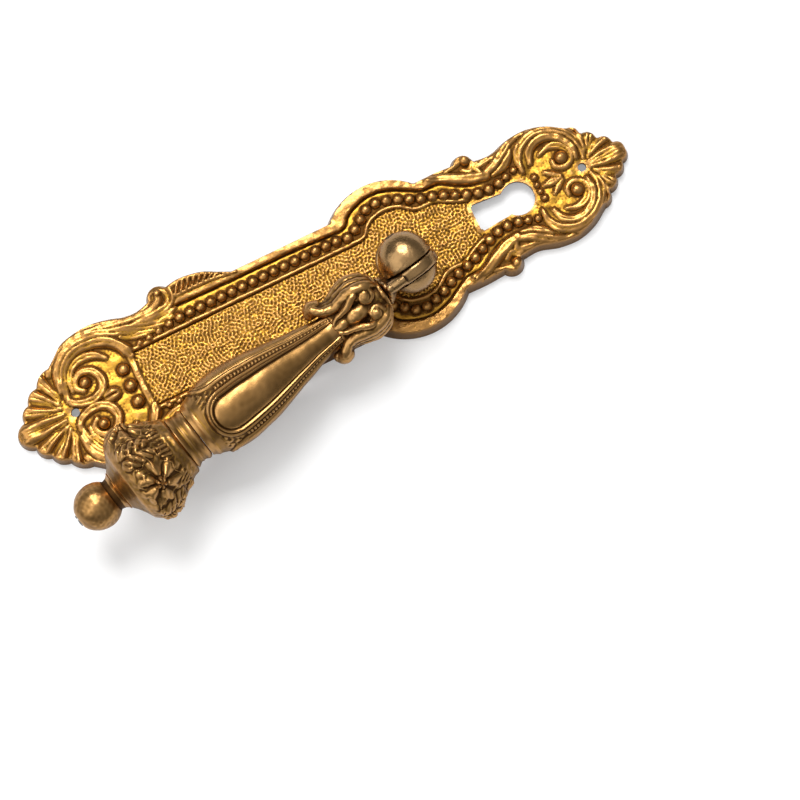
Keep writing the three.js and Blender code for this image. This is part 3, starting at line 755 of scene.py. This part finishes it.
def knob_piece(material):
    """The carved knob: star flowers on a net of leaves, and a plain shoulder."""
    rng = np.random.default_rng(SEED + 2)
    start, end = KNOB_S, FINIAL_S - SEAM
    crowded = np.cos(np.linspace(0, math.pi, 230))
    stations = start + (end - start) * (1 - crowded) / 2
    across = 330
    profile = spline([(start, 7.1), (start + 0.4, 7.7), (70.9, 8.1), (71.9, 8.5), (72.5, 8.5), (74, 9.2),
                      (76.4, 10.6), (79, 11.7), (81.2, 12.1), (82.8, 11.8), (84, 10.8), (85.2, 8.9),
                      (86, 7.3), (86.8, 6.0), (end, 5.3)], 0.1)
    s, theta, radius, around = turned_grid(stations, np.interp(stations, *profile.T), across)
    quarter = math.pi / 2
    tilt = math.radians(-14)
    flower_s, leaf_s, bud_s = 78.1, 79.2, 73
    turn = (theta - tilt + quarter / 2) % quarter - quarter / 2
    # star flowers: six rays, a ring of small veins, and a button in a groove
    x, y = s - flower_s, turn * radius
    r, way = np.hypot(x, y), np.arctan2(y, x)
    rays = np.abs(np.cos(3 * way + 0.4 + 0.12 * r))
    relief = 1.1 * np.clip(rays * 1.25 - 0.05 * r ** 1.5, 0, 1) ** 0.9 * np.exp(-(r / 5.2) ** 4)
    veins = np.abs(np.cos(6 * way + 0.8 + 0.45 * r))
    relief += 0.4 * veins ** 2 * hump(r, 5.4, 1.3)
    relief += 0.9 * crown(r / 1.35)
    relief -= 0.35 * hump(r, 1.55, 0.3)
    # pairs of curled leaves between the flowers, with a bud at their start
    side = (quarter / 2 - np.abs(turn)) * radius
    x, y = s - leaf_s, side - 1.6
    leaf = np.clip(1 - (x / 4.6) ** 2 - (y / 2.0) ** 2, 0, None) ** 0.55
    relief = np.maximum(relief, 1.2 * leaf * (0.78 + 0.22 * np.cos(2 * math.pi * (x + 0.7 * y) / 1.9)))
    x, y = s - bud_s, side - 2.6
    bud = np.clip(1 - (x / 1.9) ** 2 - (y / 2.2) ** 2, 0, None) ** 0.5
    relief = np.maximum(relief, 0.8 * bud * (0.7 + 0.3 * np.cos(2 * math.pi * y / 1.1)))
    net = waves(around, 3.4, rng).reshape(s.shape)
    relief += 0.3 * np.clip(1 - np.abs(net) / 0.5, 0, 1) * smooth_step(r, 2.5, 5)
    # the carving ends in a scalloped fringe, with a ring and a groove on the shoulder beyond it
    fringe = 83 + 0.6 * np.cos(8 * (theta - tilt))
    relief *= (1 - smooth_step(s - fringe, -0.9, 0.4)) * smooth_step(s, 71.8, 72.7)
    relief += 0.18 * hump(s, 84.6, 0.35) - 0.18 * hump(s, 85.5, 0.3)
    relief += (0.03 * waves(around, 3, rng) + 0.02 * waves(around, 1.2, rng)).reshape(s.shape)
    radius += relief * np.clip((end - s) / 2, 0, 1)
    add_turned("carved_knob", stations, radius, ["handle_knob"], material, across)


def finial_piece(material):
    """Small ball on a short neck, with a flat disc and a dimple at its end."""
    rng = np.random.default_rng(SEED + 3)
    centre, ball, neck, flat = 93.7, 5.75, 4.1, 2.3
    neck_back = math.sqrt(ball ** 2 - neck ** 2)
    flat_out = math.sqrt(ball ** 2 - flat ** 2)
    angle = np.linspace(math.acos(neck_back / ball), math.pi - math.acos(flat_out / ball), 70)
    profile = [(FINIAL_S, 5.0), (FINIAL_S + 0.25, 5.15), (FINIAL_S + 0.6, 4.6), (FINIAL_S + 1.2, 4.15),
               (centre - neck_back - 0.15, 3.95)]
    profile += [(centre - ball * math.cos(a), ball * math.sin(a)) for a in angle]
    disc_s = centre + flat_out
    profile += [(disc_s + 0.05, flat - 0.15), (disc_s + 0.05, 1.75), (disc_s - 0.1, 1.6)]
    stations, radii = np.array(profile).T
    across = 200
    _, _, radius, around = turned_grid(stations, radii, across)
    dents = 0.05 * waves(around, 4, rng) + 0.015 * waves(around, 1.1, rng)
    radius += dents.reshape(radius.shape)
    add_turned("finial_ball", stations, radius, ["handle_finial"], material, across)


def ball_part(shell, centre, size):
    """Add an ellipsoid to a growing mesh in handle axes."""
    made = bmesh.ops.create_uvsphere(shell, u_segments=32, v_segments=16, radius=1)
    for vertex in made["verts"]:
        vertex.co = Vector([c + s * x for c, s, x in zip(centre, size, vertex.co)])


def join_rings(shell, rings, capped=True):
    """Close rings of new vertices into a skin."""
    for near, far in zip(rings, rings[1:]):
        for k in range(len(near)):
            m = (k + 1) % len(near)
            shell.faces.new((near[k], near[m], far[m], far[k]))
    if capped:
        shell.faces.new(rings[0])
        shell.faces.new(list(reversed(rings[-1])))


def tube_part(shell, points):
    """Add a round cord of changing radius: points are (s, lateral, height, radius)."""
    path = spline(points, 0.35, 3)
    tangent = np.gradient(path[:, :3], axis=0)
    tangent /= np.linalg.norm(tangent, axis=1)[:, None]
    guide = np.array([0.31, 0.52, 0.79])    # a direction that no cord runs along
    sides = 14
    angles = 2 * math.pi * np.arange(sides) / sides
    rings = []
    for place, way in zip(path, tangent):
        first = np.cross(way, guide)
        first /= np.linalg.norm(first)
        second = np.cross(way, first)
        rings.append([shell.verts.new(place[:3] + place[3] * (math.cos(a) * first + math.sin(a) * second))
                      for a in angles])
    join_rings(shell, rings)


def lathe_part(shell, profile, sides=64, order=(0, 1, 2)):
    """Add a closed turned solid from (place, radius) pairs: order says which axis place is on."""
    rings = []
    for place, radius in profile:
        angles = 2 * math.pi * np.arange(sides) / sides
        points = [(place, radius * math.sin(a), radius * math.cos(a)) for a in angles]
        rings.append([shell.verts.new([point[k] for k in order]) for point in points])
    join_rings(shell, rings, capped=profile[0] != profile[-1])


def roughen(mesh, depth, rng):
    """Swell and dent a skin a little along its normals, as in a casting."""
    place = vertex_values(mesh, "co") / MM
    swell = waves(place, 2.4, rng) + 0.4 * waves(place, 1.0, rng)
    place += depth * swell[:, None] * vertex_values(mesh, "normal")
    mesh.vertices.foreach_set("co", (place * MM).ravel())
    mesh.update()


def melted(name, shell, voxel, place=to_handle):
    """Melt a growing mesh's parts into one smooth skin, placed in the frame."""
    coordinates = np.array([tuple(v.co) for v in shell.verts])
    for vertex, where in zip(shell.verts, place(coordinates) * MM):
        vertex.co = Vector(where)
    bmesh.ops.recalc_face_normals(shell, faces=shell.faces)
    parts = mesh_of(name, shell)
    piece = placed(name, parts)
    modifier = piece.modifiers.new("melt", "REMESH")
    modifier.mode = "VOXEL"
    modifier.voxel_size = voxel * MM * 1
    smoother = piece.modifiers.new("ease", "SMOOTH")
    smoother.factor = 0.5
    smoother.iterations = 2
    depsgraph = bpy.context.evaluated_depsgraph_get()
    piece.data = bpy.data.meshes.new_from_object(piece.evaluated_get(depsgraph))
    piece.modifiers.clear()
    bpy.data.meshes.remove(parts)
    return piece


def capital_quarter(shell, side, up):
    """A volute, a three-fluted leaf with a curled tip, and the ridge that joins them."""
    def quarter(points):
        """The same points in this quarter."""
        return [(s, side * across, up * high, radius) for s, across, high, radius in points]

    eye_s, eye_across = 13.9, 2.45
    spiral = []
    for k in range(13):
        angle = math.radians(170 - 42 * k)
        reach = 2.2 - 0.135 * k
        spiral.append((eye_s - reach * math.cos(angle), eye_across + reach * math.sin(angle),
                       5.0 + 0.09 * k, 0.88 - 0.015 * k))
    tube_part(shell, quarter(spiral))
    ball_part(shell, (eye_s, side * eye_across, up * 5.4), (1.45, 1.45, 1.4))
    # each flute runs from the volute over its shoulder to the tip
    for out, lift in enumerate((5.2, 3.0, 1.0)):
        tube_part(shell, quarter([
            (CAPITAL_S + 1.0, 2.9 + out, lift * 0.75, 0.85), (12.4, 4.3 + out, lift * 0.96, 1.4),
            (15.4, 5.0 + out, lift * 0.93, 1.65), (18.4, 4.9 + 0.8 * out, lift * 0.8, 1.55),
            (21, 4.4 + 0.6 * out, lift * 0.66, 1.4), (23.4, 4.9 + 0.5 * out, lift * 0.54, 1.3),
            (25.2, 6.2 + 0.3 * out, lift * 0.46, 1.2), (25.8, 7.5 + 0.1 * out, lift * 0.36, 0.95)]))
    tube_part(shell, quarter([(14.6, 4.4, 5.4, 0.6), (16.6, 4.1, 5.9, 0.85), (18.6, 3.0, 5.6, 0.85),
                              (20.4, 2.4, 4.9, 0.75), (22.4, 2.0, 4.3, 0.6), (24, 1.0, 4.4, 0.4)]))


def capital_piece(material):
    """Scrolled capital: paired volutes, a smooth middle, fluted side leaves with curled tips."""
    shell = bmesh.new()
    start, end = CAPITAL_S, BODY_S - 0.1
    lathe_part(shell, [(start, 3.9), (start + 0.3, 4.6), (11.5, 5.0), (14, 5.3), (17, 5.1), (20, 4.5),
                       (22, 4.3), (end - 0.3, 4.6), (end, 4.3)])
    for up in (1, -1):
        ball_part(shell, (17.4, 0, up * 4.1), (3.7, 2.3, 2.1))
        ball_part(shell, (21.6, 0, up * 3.8), (2.9, 1.5, 1.3))
        for side in (1, -1):
            capital_quarter(shell, side, up)
    for side in (1, -1):
        ball_part(shell, (14.9, side * 4.4, 0), (4.7, 3.4, 4.8))
        ball_part(shell, (20.5, side * 4.0, 0), (4.2, 2.2, 2.8))
        ball_part(shell, (25.3, side * 6.8, 0), (2.5, 2.1, 3.0))
        ball_part(shell, (26.9, side * 6.2, 0), (1.2, 1.4, 1.7))
    # cord round the inner end
    lathe_part(shell, [(start, 3.2), (start, 4.9), (start + 0.35, 5.25), (start + 0.8, 5.25),
                       (start + 1.1, 4.9), (start + 1.1, 3.2)])
    piece = melted("scrolled_capital", shell, voxel=0.18)
    roughen(piece.data, depth=0.045, rng=np.random.default_rng(SEED + 4))
    dress(piece, "handle", ["handle_capital"], material, sharp=80)


def eye_piece(material):
    """Round tongue on the pin, with a waisted stem and a bead on its shoulder."""
    shell = bmesh.new()
    half = TONGUE_WIDTH / 2
    bore = PIN_RADIUS + 0.12
    lathe_part(shell, [(-half, bore), (-half, TONGUE_RADIUS - 0.7), (-half + 0.25, TONGUE_RADIUS - 0.2),
                       (-half + 0.7, TONGUE_RADIUS), (half - 0.7, TONGUE_RADIUS),
                       (half - 0.25, TONGUE_RADIUS - 0.2), (half, TONGUE_RADIUS - 0.7), (half, bore),
                       (-half, bore)], sides=128, order=ABOUT_PIN)
    stem = CAPITAL_S - GAP
    lathe_part(shell, [(4.5, 1.2), (5.6, 1.5), (6.8, 2.7), (7.9, 3.5), (stem - 0.4, 3.9), (stem, 3.7)])
    for up in (1, -1):
        tube_part(shell, [(3.4, 0, up * 5.4, 1.3), (6.0, 0, up * 4.5, 1.5), (8.0, 0, up * 2.9, 1.5)])
        ball_part(shell, (8.3, 0, up * 2.9), (1.0, 2.4, 2.0))
        ball_part(shell, (7.7, 0, up * 4.7), (1.0, 1.2, 0.95))
    piece = melted("hinge_eye", shell, voxel=0.14)
    roughen(piece.data, depth=0.012, rng=np.random.default_rng(SEED + 5))
    dress(piece, "handle", ["handle_eye"], material, sharp=80)


# ---------------------------------------------------------------- the post

def to_post(points):
    """From (side, along the pin, up the post from the ball's middle) to the frame."""
    points = np.asarray(points, float)
    centre = PIVOT - SLOT_OFFSET * ACROSS
    side = np.cross(ACROSS, POST_AXIS)
    return centre + points[:, :1] * side + points[:, 1:2] * ACROSS + points[:, 2:] * POST_AXIS


def turned_up(profile):
    """A growing mesh turned about the post's axis, from (radius, height) pairs."""
    shell = bmesh.new()
    sides = 160
    angles = 2 * math.pi * np.arange(sides) / sides
    rings = [[shell.verts.new((r * math.cos(a), r * math.sin(a), z)) for a in angles] for r, z in profile]
    join_rings(shell, rings)
    return shell


def loose_object(name, shell):
    """An object from a growing mesh, its faces outward."""
    bmesh.ops.recalc_face_normals(shell, faces=shell.faces)
    return placed(name, mesh_of(name, shell))


def post_piece(material):
    """Boss, flange, neck and slotted ball in one casting."""
    low_angle = -math.acos(NECK_RADIUS / BALL_RADIUS)
    ball = [(BALL_RADIUS * math.cos(a), BALL_RADIUS * math.sin(a))
            for a in np.linspace(low_angle, math.pi / 2 - 0.02, 48)]
    top = -NECK_LENGTH - math.sqrt(BALL_RADIUS ** 2 - NECK_RADIUS ** 2)
    low, foot = top - 2, top - 4.2
    profile = [(5.2, foot), (5.4, foot + 0.25), (5.4, low - 0.2), (6.2, low - 0.1), (6.6, low + 0.1),
               (6.75, low + 0.5), (6.75, top - 0.6), (6.4, top - 0.15), (5.9, top), (4.9, top),
               (NECK_RADIUS, top + 0.4)] + ball
    shell = turned_up(profile)
    # the ball is a little longer along the pin than across it
    stretch = BALL_HALF / BALL_RADIUS
    ball_foot = ball[0][1]
    for vertex in shell.verts:
        if vertex.co.z > ball_foot - 0.01:
            share = min(1, (vertex.co.z - ball_foot) / 1.5)
            vertex.co.y *= 1 + (stretch - 1) * share
    body = loose_object("slotted_post", shell)
    slot = bmesh.new()
    bmesh.ops.create_cube(slot, size=1)
    tall = 2 * BALL_RADIUS + 3.4
    wide = 30
    for vertex in slot.verts:
        x, y, z = vertex.co
        vertex.co = Vector((x * wide, y * SLOT_WIDTH + SLOT_OFFSET, z * tall + top + 0.15 + tall / 2))
    bore = bmesh.new()
    bore_radius = PIN_RADIUS + 0.1
    bmesh.ops.create_cone(bore, cap_ends=True, segments=48, radius1=bore_radius, radius2=bore_radius,
                          depth=wide, matrix=Matrix.Rotation(math.pi / 2, 4, "X"))
    cutters = [loose_object("slot_cutter", slot), loose_object("bore_cutter", bore)]
    for cutter in cutters:
        modifier = body.modifiers.new("cut", "BOOLEAN")
        modifier.operation = "DIFFERENCE"
        modifier.solver = "EXACT"
        modifier.object = cutter
    depsgraph = bpy.context.evaluated_depsgraph_get()
    carved = bpy.data.meshes.new_from_object(body.evaluated_get(depsgraph))
    for spare in [body] + cutters:
        bpy.data.objects.remove(spare)
    shell = bmesh.new()
    shell.from_mesh(carved)
    bpy.data.meshes.remove(carved)
    piece = melted("slotted_post", shell, voxel=0.14, place=to_post)
    roughen(piece.data, depth=0.012, rng=np.random.default_rng(SEED + 6))
    dress(piece, "post", ["post_stud"], material, sharp=80)


def pin_piece(material):
    """Pivot pin, its ends dressed flush with the ball."""
    radii = [0.02, 0.4, 0.8, 1.1, PIN_RADIUS - 0.05, PIN_RADIUS]
    reach = [BALL_HALF * math.sqrt(1 - (r / BALL_RADIUS) ** 2) for r in radii]
    profile = [(-y, r) for y, r in zip(reach, radii)]
    profile += [(y, r) for y, r in zip(reversed(reach), reversed(radii))]
    shell = bmesh.new()
    lathe_part(shell, [(y - SLOT_OFFSET, r) for y, r in profile], order=ABOUT_PIN)
    bmesh.ops.recalc_face_normals(shell, faces=shell.faces)
    shell.verts.index_update()
    vertices = to_handle([tuple(v.co) for v in shell.verts])
    faces = [[v.index for v in f.verts] for f in shell.faces]
    shell.free()
    new_piece("hinge_pin", vertices, faces, "post", ["pivot_pin"], material)


def shank_piece(material):
    """Threaded steel shank, plain at its top and tapered at its tip."""
    places = cad_points("post_shank")
    middle = places.mean(0)
    reach = (places - middle) @ POST_AXIS
    low, high = reach.min(), reach.max()
    outer, depth, pitch = 2.8, 0.42, 0.8
    sides, rows = 96, 150
    z, angle, radius, _ = turned_grid(np.linspace(low, high, rows), np.full(rows, outer), sides)
    tooth = np.abs((z / pitch - angle / (2 * math.pi)) % 1 - 0.5) * 2
    plain = smooth_step(z, high - 0.8, high - 0.4)
    radius -= depth * smooth_step(tooth, 0.15, 0.85) * (1 - plain)
    radius -= 0.45 * np.clip(1 - (z - low) / 0.5, 0, 1)
    points, faces = turned(z[:, 0], radius, sides)
    first = np.cross(POST_AXIS, (1.0, 0, 0))
    first /= np.linalg.norm(first)
    second = np.cross(POST_AXIS, first)
    vertices = middle + points[:, :1] * POST_AXIS + points[:, 2:] * first + points[:, 1:2] * second
    new_piece("threaded_shank", vertices, faces, "shank", ["post_shank"], material)


# ---------------------------------------------------------------- materials

def add(tree, kind, inputs=None, **settings):
    """Add a shader node; an input may be a value or another node's output."""
    made = tree.nodes.new("ShaderNode" + kind)
    for name, value in settings.items():
        setattr(made, name, value)
    for name, value in (inputs or {}).items():
        if isinstance(value, bpy.types.NodeSocket):
            tree.links.new(value, made.inputs[name])
        else:
            made.inputs[name].default_value = value
    return made


def ramp(tree, factor, stops):
    """A colour ramp from (place, value) stops, each value a number or a colour."""
    made = add(tree, "ValToRGB", {"Fac": factor})
    elements = made.color_ramp.elements
    while len(elements) < len(stops):
        elements.new(0.5)
    for element, (place, value) in zip(elements, stops):
        element.position = place
        element.color = (*value, 1) if isinstance(value, tuple) else (value, value, value, 1)
    return made.outputs["Color"]


def blend(tree, factor, first, second):
    """Mix two colours."""
    made = add(tree, "Mix", data_type="RGBA", blend_type="MIX")
    for index, value in ((0, factor), (6, first), (7, second)):
        if isinstance(value, bpy.types.NodeSocket):
            tree.links.new(value, made.inputs[index])
        else:
            made.inputs[index].default_value = value if index == 0 else (*value, 1)
    return made.outputs[2]


def sum_of(tree, *terms):
    """A weighted sum of (socket, weight) terms plus bare numbers."""
    total = None
    for term in terms:
        if isinstance(term, tuple):
            term = add(tree, "Math", {0: term[0], 1: term[1]}, operation="MULTIPLY").outputs[0]
        total = term if total is None else add(tree, "Math", {0: total, 1: term}, operation="ADD").outputs[0]
    return total


def cleared_tree(owner):
    """The node tree of a material or a world, emptied."""
    owner.use_nodes = True
    owner.node_tree.nodes.clear()
    return owner.node_tree


def metal(name, low, flat, high, stain, roughness, mottle=0.8, fine_gain=5.5, broad_gain=3.2,
          lift=0.0, wall_shade_strength=0.0, gleam=None):
    """Aged brass: dark in the creases, partly patina and partly painted shade; one colour on the flats and
    another where it is rubbed; painted shade on faces that turn sideways, as far as the wall strength asks.
    """
    material = bpy.data.materials.new(name)
    tree = cleared_tree(material)
    place = add(tree, "TexCoord").outputs["Object"]

    def noise(size_mm, detail, rough=0.55):
        """Cloudy noise whose lumps are about one size."""
        return add(tree, "TexNoise", {"Vector": place, "Scale": 1 / (size_mm * MM), "Detail": detail,
                                      "Roughness": rough}).outputs["Fac"]

    fine = add(tree, "Attribute", attribute_name="fine").outputs["Fac"]
    broad = add(tree, "Attribute", attribute_name="broad").outputs["Fac"]
    cloud, patch, speck = noise(14, 4), noise(3.2, 5), noise(0.45, 4, 0.7)
    # where it is hollow, where it stands proud, and how far its surface faces sideways
    hollow = sum_of(tree, (fine, fine_gain), (broad, 0.25 * broad_gain), (patch, 0.3), (speck, 0.2), 0.3)
    # patina and painted shade in the creases: the deeper the hollow, the more of the dark low colour
    crease_patina_and_shade = ramp(tree, hollow, [(0.0, 1.0), (0.3, 0.6), (0.5, 0.0)])
    shallow = ramp(tree, hollow, [(0.2, 0.0), (0.4, 0.75), (0.56, 0.0)])
    height = add(tree, "SeparateXYZ", {"Vector": place}).outputs["Z"]
    raised = add(tree, "MapRange", {"Value": height, "From Min": 3.3 * MM, "From Max": 4.6 * MM}).outputs[0]
    proud = sum_of(tree, (fine, 0.4 * fine_gain), (broad, broad_gain), (cloud, 0.35), (patch, 0.25), 0.2,
                   (raised, lift))
    rubbed = ramp(tree, proud, [(0.5, 0.0), (0.8, 1.0)])
    upright = add(tree, "SeparateXYZ", {"Vector": add(tree, "TexCoord").outputs["Normal"]}).outputs["Z"]
    # painted shade: faces that turn sideways are darkened by their normal, up to the wall strength
    sideways_painted_shade = ramp(tree, upright, [(0.15, wall_shade_strength), (0.6, 0.0)])
    stained = ramp(tree, sum_of(tree, (cloud, 0.6), (patch, 0.4)), [(0.52, 0.0), (0.7, 0.4)])
    tone = blend(tree, ramp(tree, patch, [(0.35, 0.0), (0.7, 1.0)]), flat, tuple(c * mottle for c in flat))
    tone = blend(tree, rubbed, tone, high)
    tone = blend(tree, shallow, tone, gleam or flat)
    # the creases take the dark low colour, partly patina and partly painted shade
    tone = blend(tree, crease_patina_and_shade, tone, low)
    tone = blend(tree, stained, tone, stain)
    # painted shade on faces that turn sideways: a dark brown, a quarter of the rubbed colour
    tone = blend(tree, sideways_painted_shade, tone, tuple(0.25 * c for c in high))
    rough = sum_of(tree, (crease_patina_and_shade, 0.22), (rubbed, -0.08), (patch, 0.16), (speck, 0.1), roughness - 0.13)
    # a fine grain, and scattered pits over it
    grain = add(tree, "Bump", {"Strength": 0.35, "Distance": 0.06 * MM, "Height": speck})
    spots = add(tree, "TexVoronoi", {"Vector": place, "Scale": 1 / (1.1 * MM)}).outputs["Distance"]
    pit = ramp(tree, spots, [(0.0, 0.0), (0.16, 1.0)])
    bump = add(tree, "Bump", {"Strength": 0.25, "Distance": 0.05 * MM, "Height": pit,
                              "Normal": grain.outputs["Normal"]})
    shader = add(tree, "BsdfPrincipled", {"Base Color": tone, "Roughness": rough, "Metallic": 1.0,
                                          "Normal": bump.outputs["Normal"]})
    add(tree, "OutputMaterial", {"Surface": shader.outputs[0]})
    return material


def gilt_metal():
    """The plate's old gilding, browned in the hollows, partly as patina and partly as painted shade, rubbed
    on the relief, and given heavy painted shade on its sloping edge faces.
    """
    # the wall strength of 0.95 gives the plate's sloping edge faces heavy painted shade
    return metal("antique_gilt_brass", low=(0.13, 0.055, 0.012), flat=(0.60, 0.31, 0.04),
                 high=(0.46, 0.232, 0.068), stain=(0.36, 0.18, 0.042), roughness=0.42, lift=0.3, wall_shade_strength=0.95)


def handle_metal():
    """The handle's browned brass, gilt in its shallow hollows, bright on its ridges, and dark in its creases,
    partly patina and partly painted shade.
    """
    return metal("browned_brass", low=(0.09, 0.042, 0.013), flat=(0.225, 0.118, 0.034),
                 high=(0.45, 0.245, 0.084), stain=(0.16, 0.082, 0.03), roughness=0.4, mottle=0.6,
                 fine_gain=6.5, broad_gain=1.7, gleam=(0.46, 0.25, 0.042))


def post_metal():
    """The post's smooth darkened brass, dark in its creases, partly patina and partly painted shade."""
    return metal("darkened_brass", low=(0.06, 0.033, 0.018), flat=(0.20, 0.116, 0.048),
                 high=(0.35, 0.21, 0.09), stain=(0.14, 0.08, 0.045), roughness=0.36, mottle=0.7)


def steel_metal():
    """The shank's dull grey steel, dark in its thread hollows, partly tarnish and partly painted shade."""
    return metal("dull_steel", low=(0.05, 0.045, 0.04), flat=(0.42, 0.42, 0.42), high=(0.62, 0.62, 0.62),
                 stain=(0.22, 0.17, 0.12), roughness=0.38)


# ---------------------------------------------------------------- floor, light and camera

def floor():
    """A wide pale sheet whose far edge turns up gently, and which looks white to the camera."""
    half, cells, flat_reach = 1.6, 24, 1.2
    ticks = np.linspace(-half, half, cells)
    shell = bmesh.new()
    rows = [[shell.verts.new((x, y, -0.1 * MM + 0.05 * max(0, math.hypot(x, y) - flat_reach) ** 2))
             for x in ticks] for y in ticks]
    for near, far in zip(rows, rows[1:]):
        for k in range(cells - 1):
            shell.faces.new((near[k], near[k + 1], far[k + 1], far[k]))
    made = placed("paper_floor", mesh_of("paper_floor", shell))
    material = bpy.data.materials.new("white_paper")
    tree = cleared_tree(material)
    ray = add(tree, "LightPath").outputs["Is Camera Ray"]
    tone = blend(tree, ray, (0.8, 0.8, 0.8), (1.0, 1.0, 1.0))
    matte = add(tree, "BsdfDiffuse", {"Color": tone})
    glow = add(tree, "Emission", {"Color": (1, 1, 1, 1), "Strength": 1.0})
    share = add(tree, "Math", {0: ray, 1: 0.28}, operation="MULTIPLY")
    both = add(tree, "MixShader", {0: share.outputs[0], 1: matte.outputs[0], 2: glow.outputs[0]})
    add(tree, "OutputMaterial", {"Surface": both.outputs[0]})
    made.data.materials.append(material)


def lamp(name, place, size, power):
    """A soft square lamp aimed at the middle of the object."""
    light = bpy.data.lights.new(name, "AREA")
    light.shape = "SQUARE"
    light.size = size
    light.energy = power
    made = placed(name, light)
    made.location = place
    made.rotation_euler = (-Vector(place)).to_track_quat("-Z", "Y").to_euler()


def world():
    """A soft room, darker below and brightest overhead."""
    made = bpy.data.worlds.new("soft_room")
    tree = cleared_tree(made)
    place = add(tree, "TexCoord").outputs["Generated"]
    height = add(tree, "SeparateXYZ", {"Vector": place}).outputs["Z"]
    glow = ramp(tree, height, [(0.0, 0.15), (0.4, 0.21), (0.75, 0.5), (1.0, 0.8)])
    shade = add(tree, "Background", {"Color": glow, "Strength": 1.0})
    add(tree, "OutputWorld", {"Surface": shade.outputs[0]})
    bpy.context.scene.world = made


def camera():
    """The photograph's viewpoint: high over the object, turned and slightly rolled."""
    elevation, heading, roll = (math.radians(a) for a in (81.4328, -23.13579, -3.16336))
    distance = 459.4615 * MM
    aim_u, aim_v = 4.85 * MM, -32.079 * MM
    low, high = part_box("backplate")
    target = (aim_u, (low[1] + high[1]) / 2 + aim_v, 0)
    data = bpy.data.cameras.new("camera")
    data.lens = 83.72
    data.sensor_width = 36
    data.clip_start = 0.01
    made = placed("camera", data)
    made.matrix_world = (Matrix.Translation(target) @ Matrix.Rotation(heading, 4, "Z")
                         @ Matrix.Rotation(math.pi / 2 - elevation, 4, "X")
                         @ Matrix.Rotation(roll, 4, "Z") @ Matrix.Translation((0, 0, distance)))
    bpy.context.scene.camera = made


camera()
world()
floor()
lamp("key", (0.1, 0.8, 1.4), 0.7, 20)
lamp("fill", (-1.0, 0.1, 0.9), 1.2, 7)

bronze = handle_metal()
smooth_bronze = post_metal()
steel = steel_metal()
plate_piece(gilt_metal())
body_piece(bronze)
collar_piece(bronze)
knob_piece(bronze)
finial_piece(bronze)
capital_piece(bronze)
eye_piece(smooth_bronze)
post_piece(smooth_bronze)
pin_piece(smooth_bronze)
shank_piece(steel)
rod = bpy.data.objects["handle_rod"]
rod.data.materials.clear()
rod.data.materials.append(steel)

bpy.context.scene.view_settings.view_transform = "Standard"
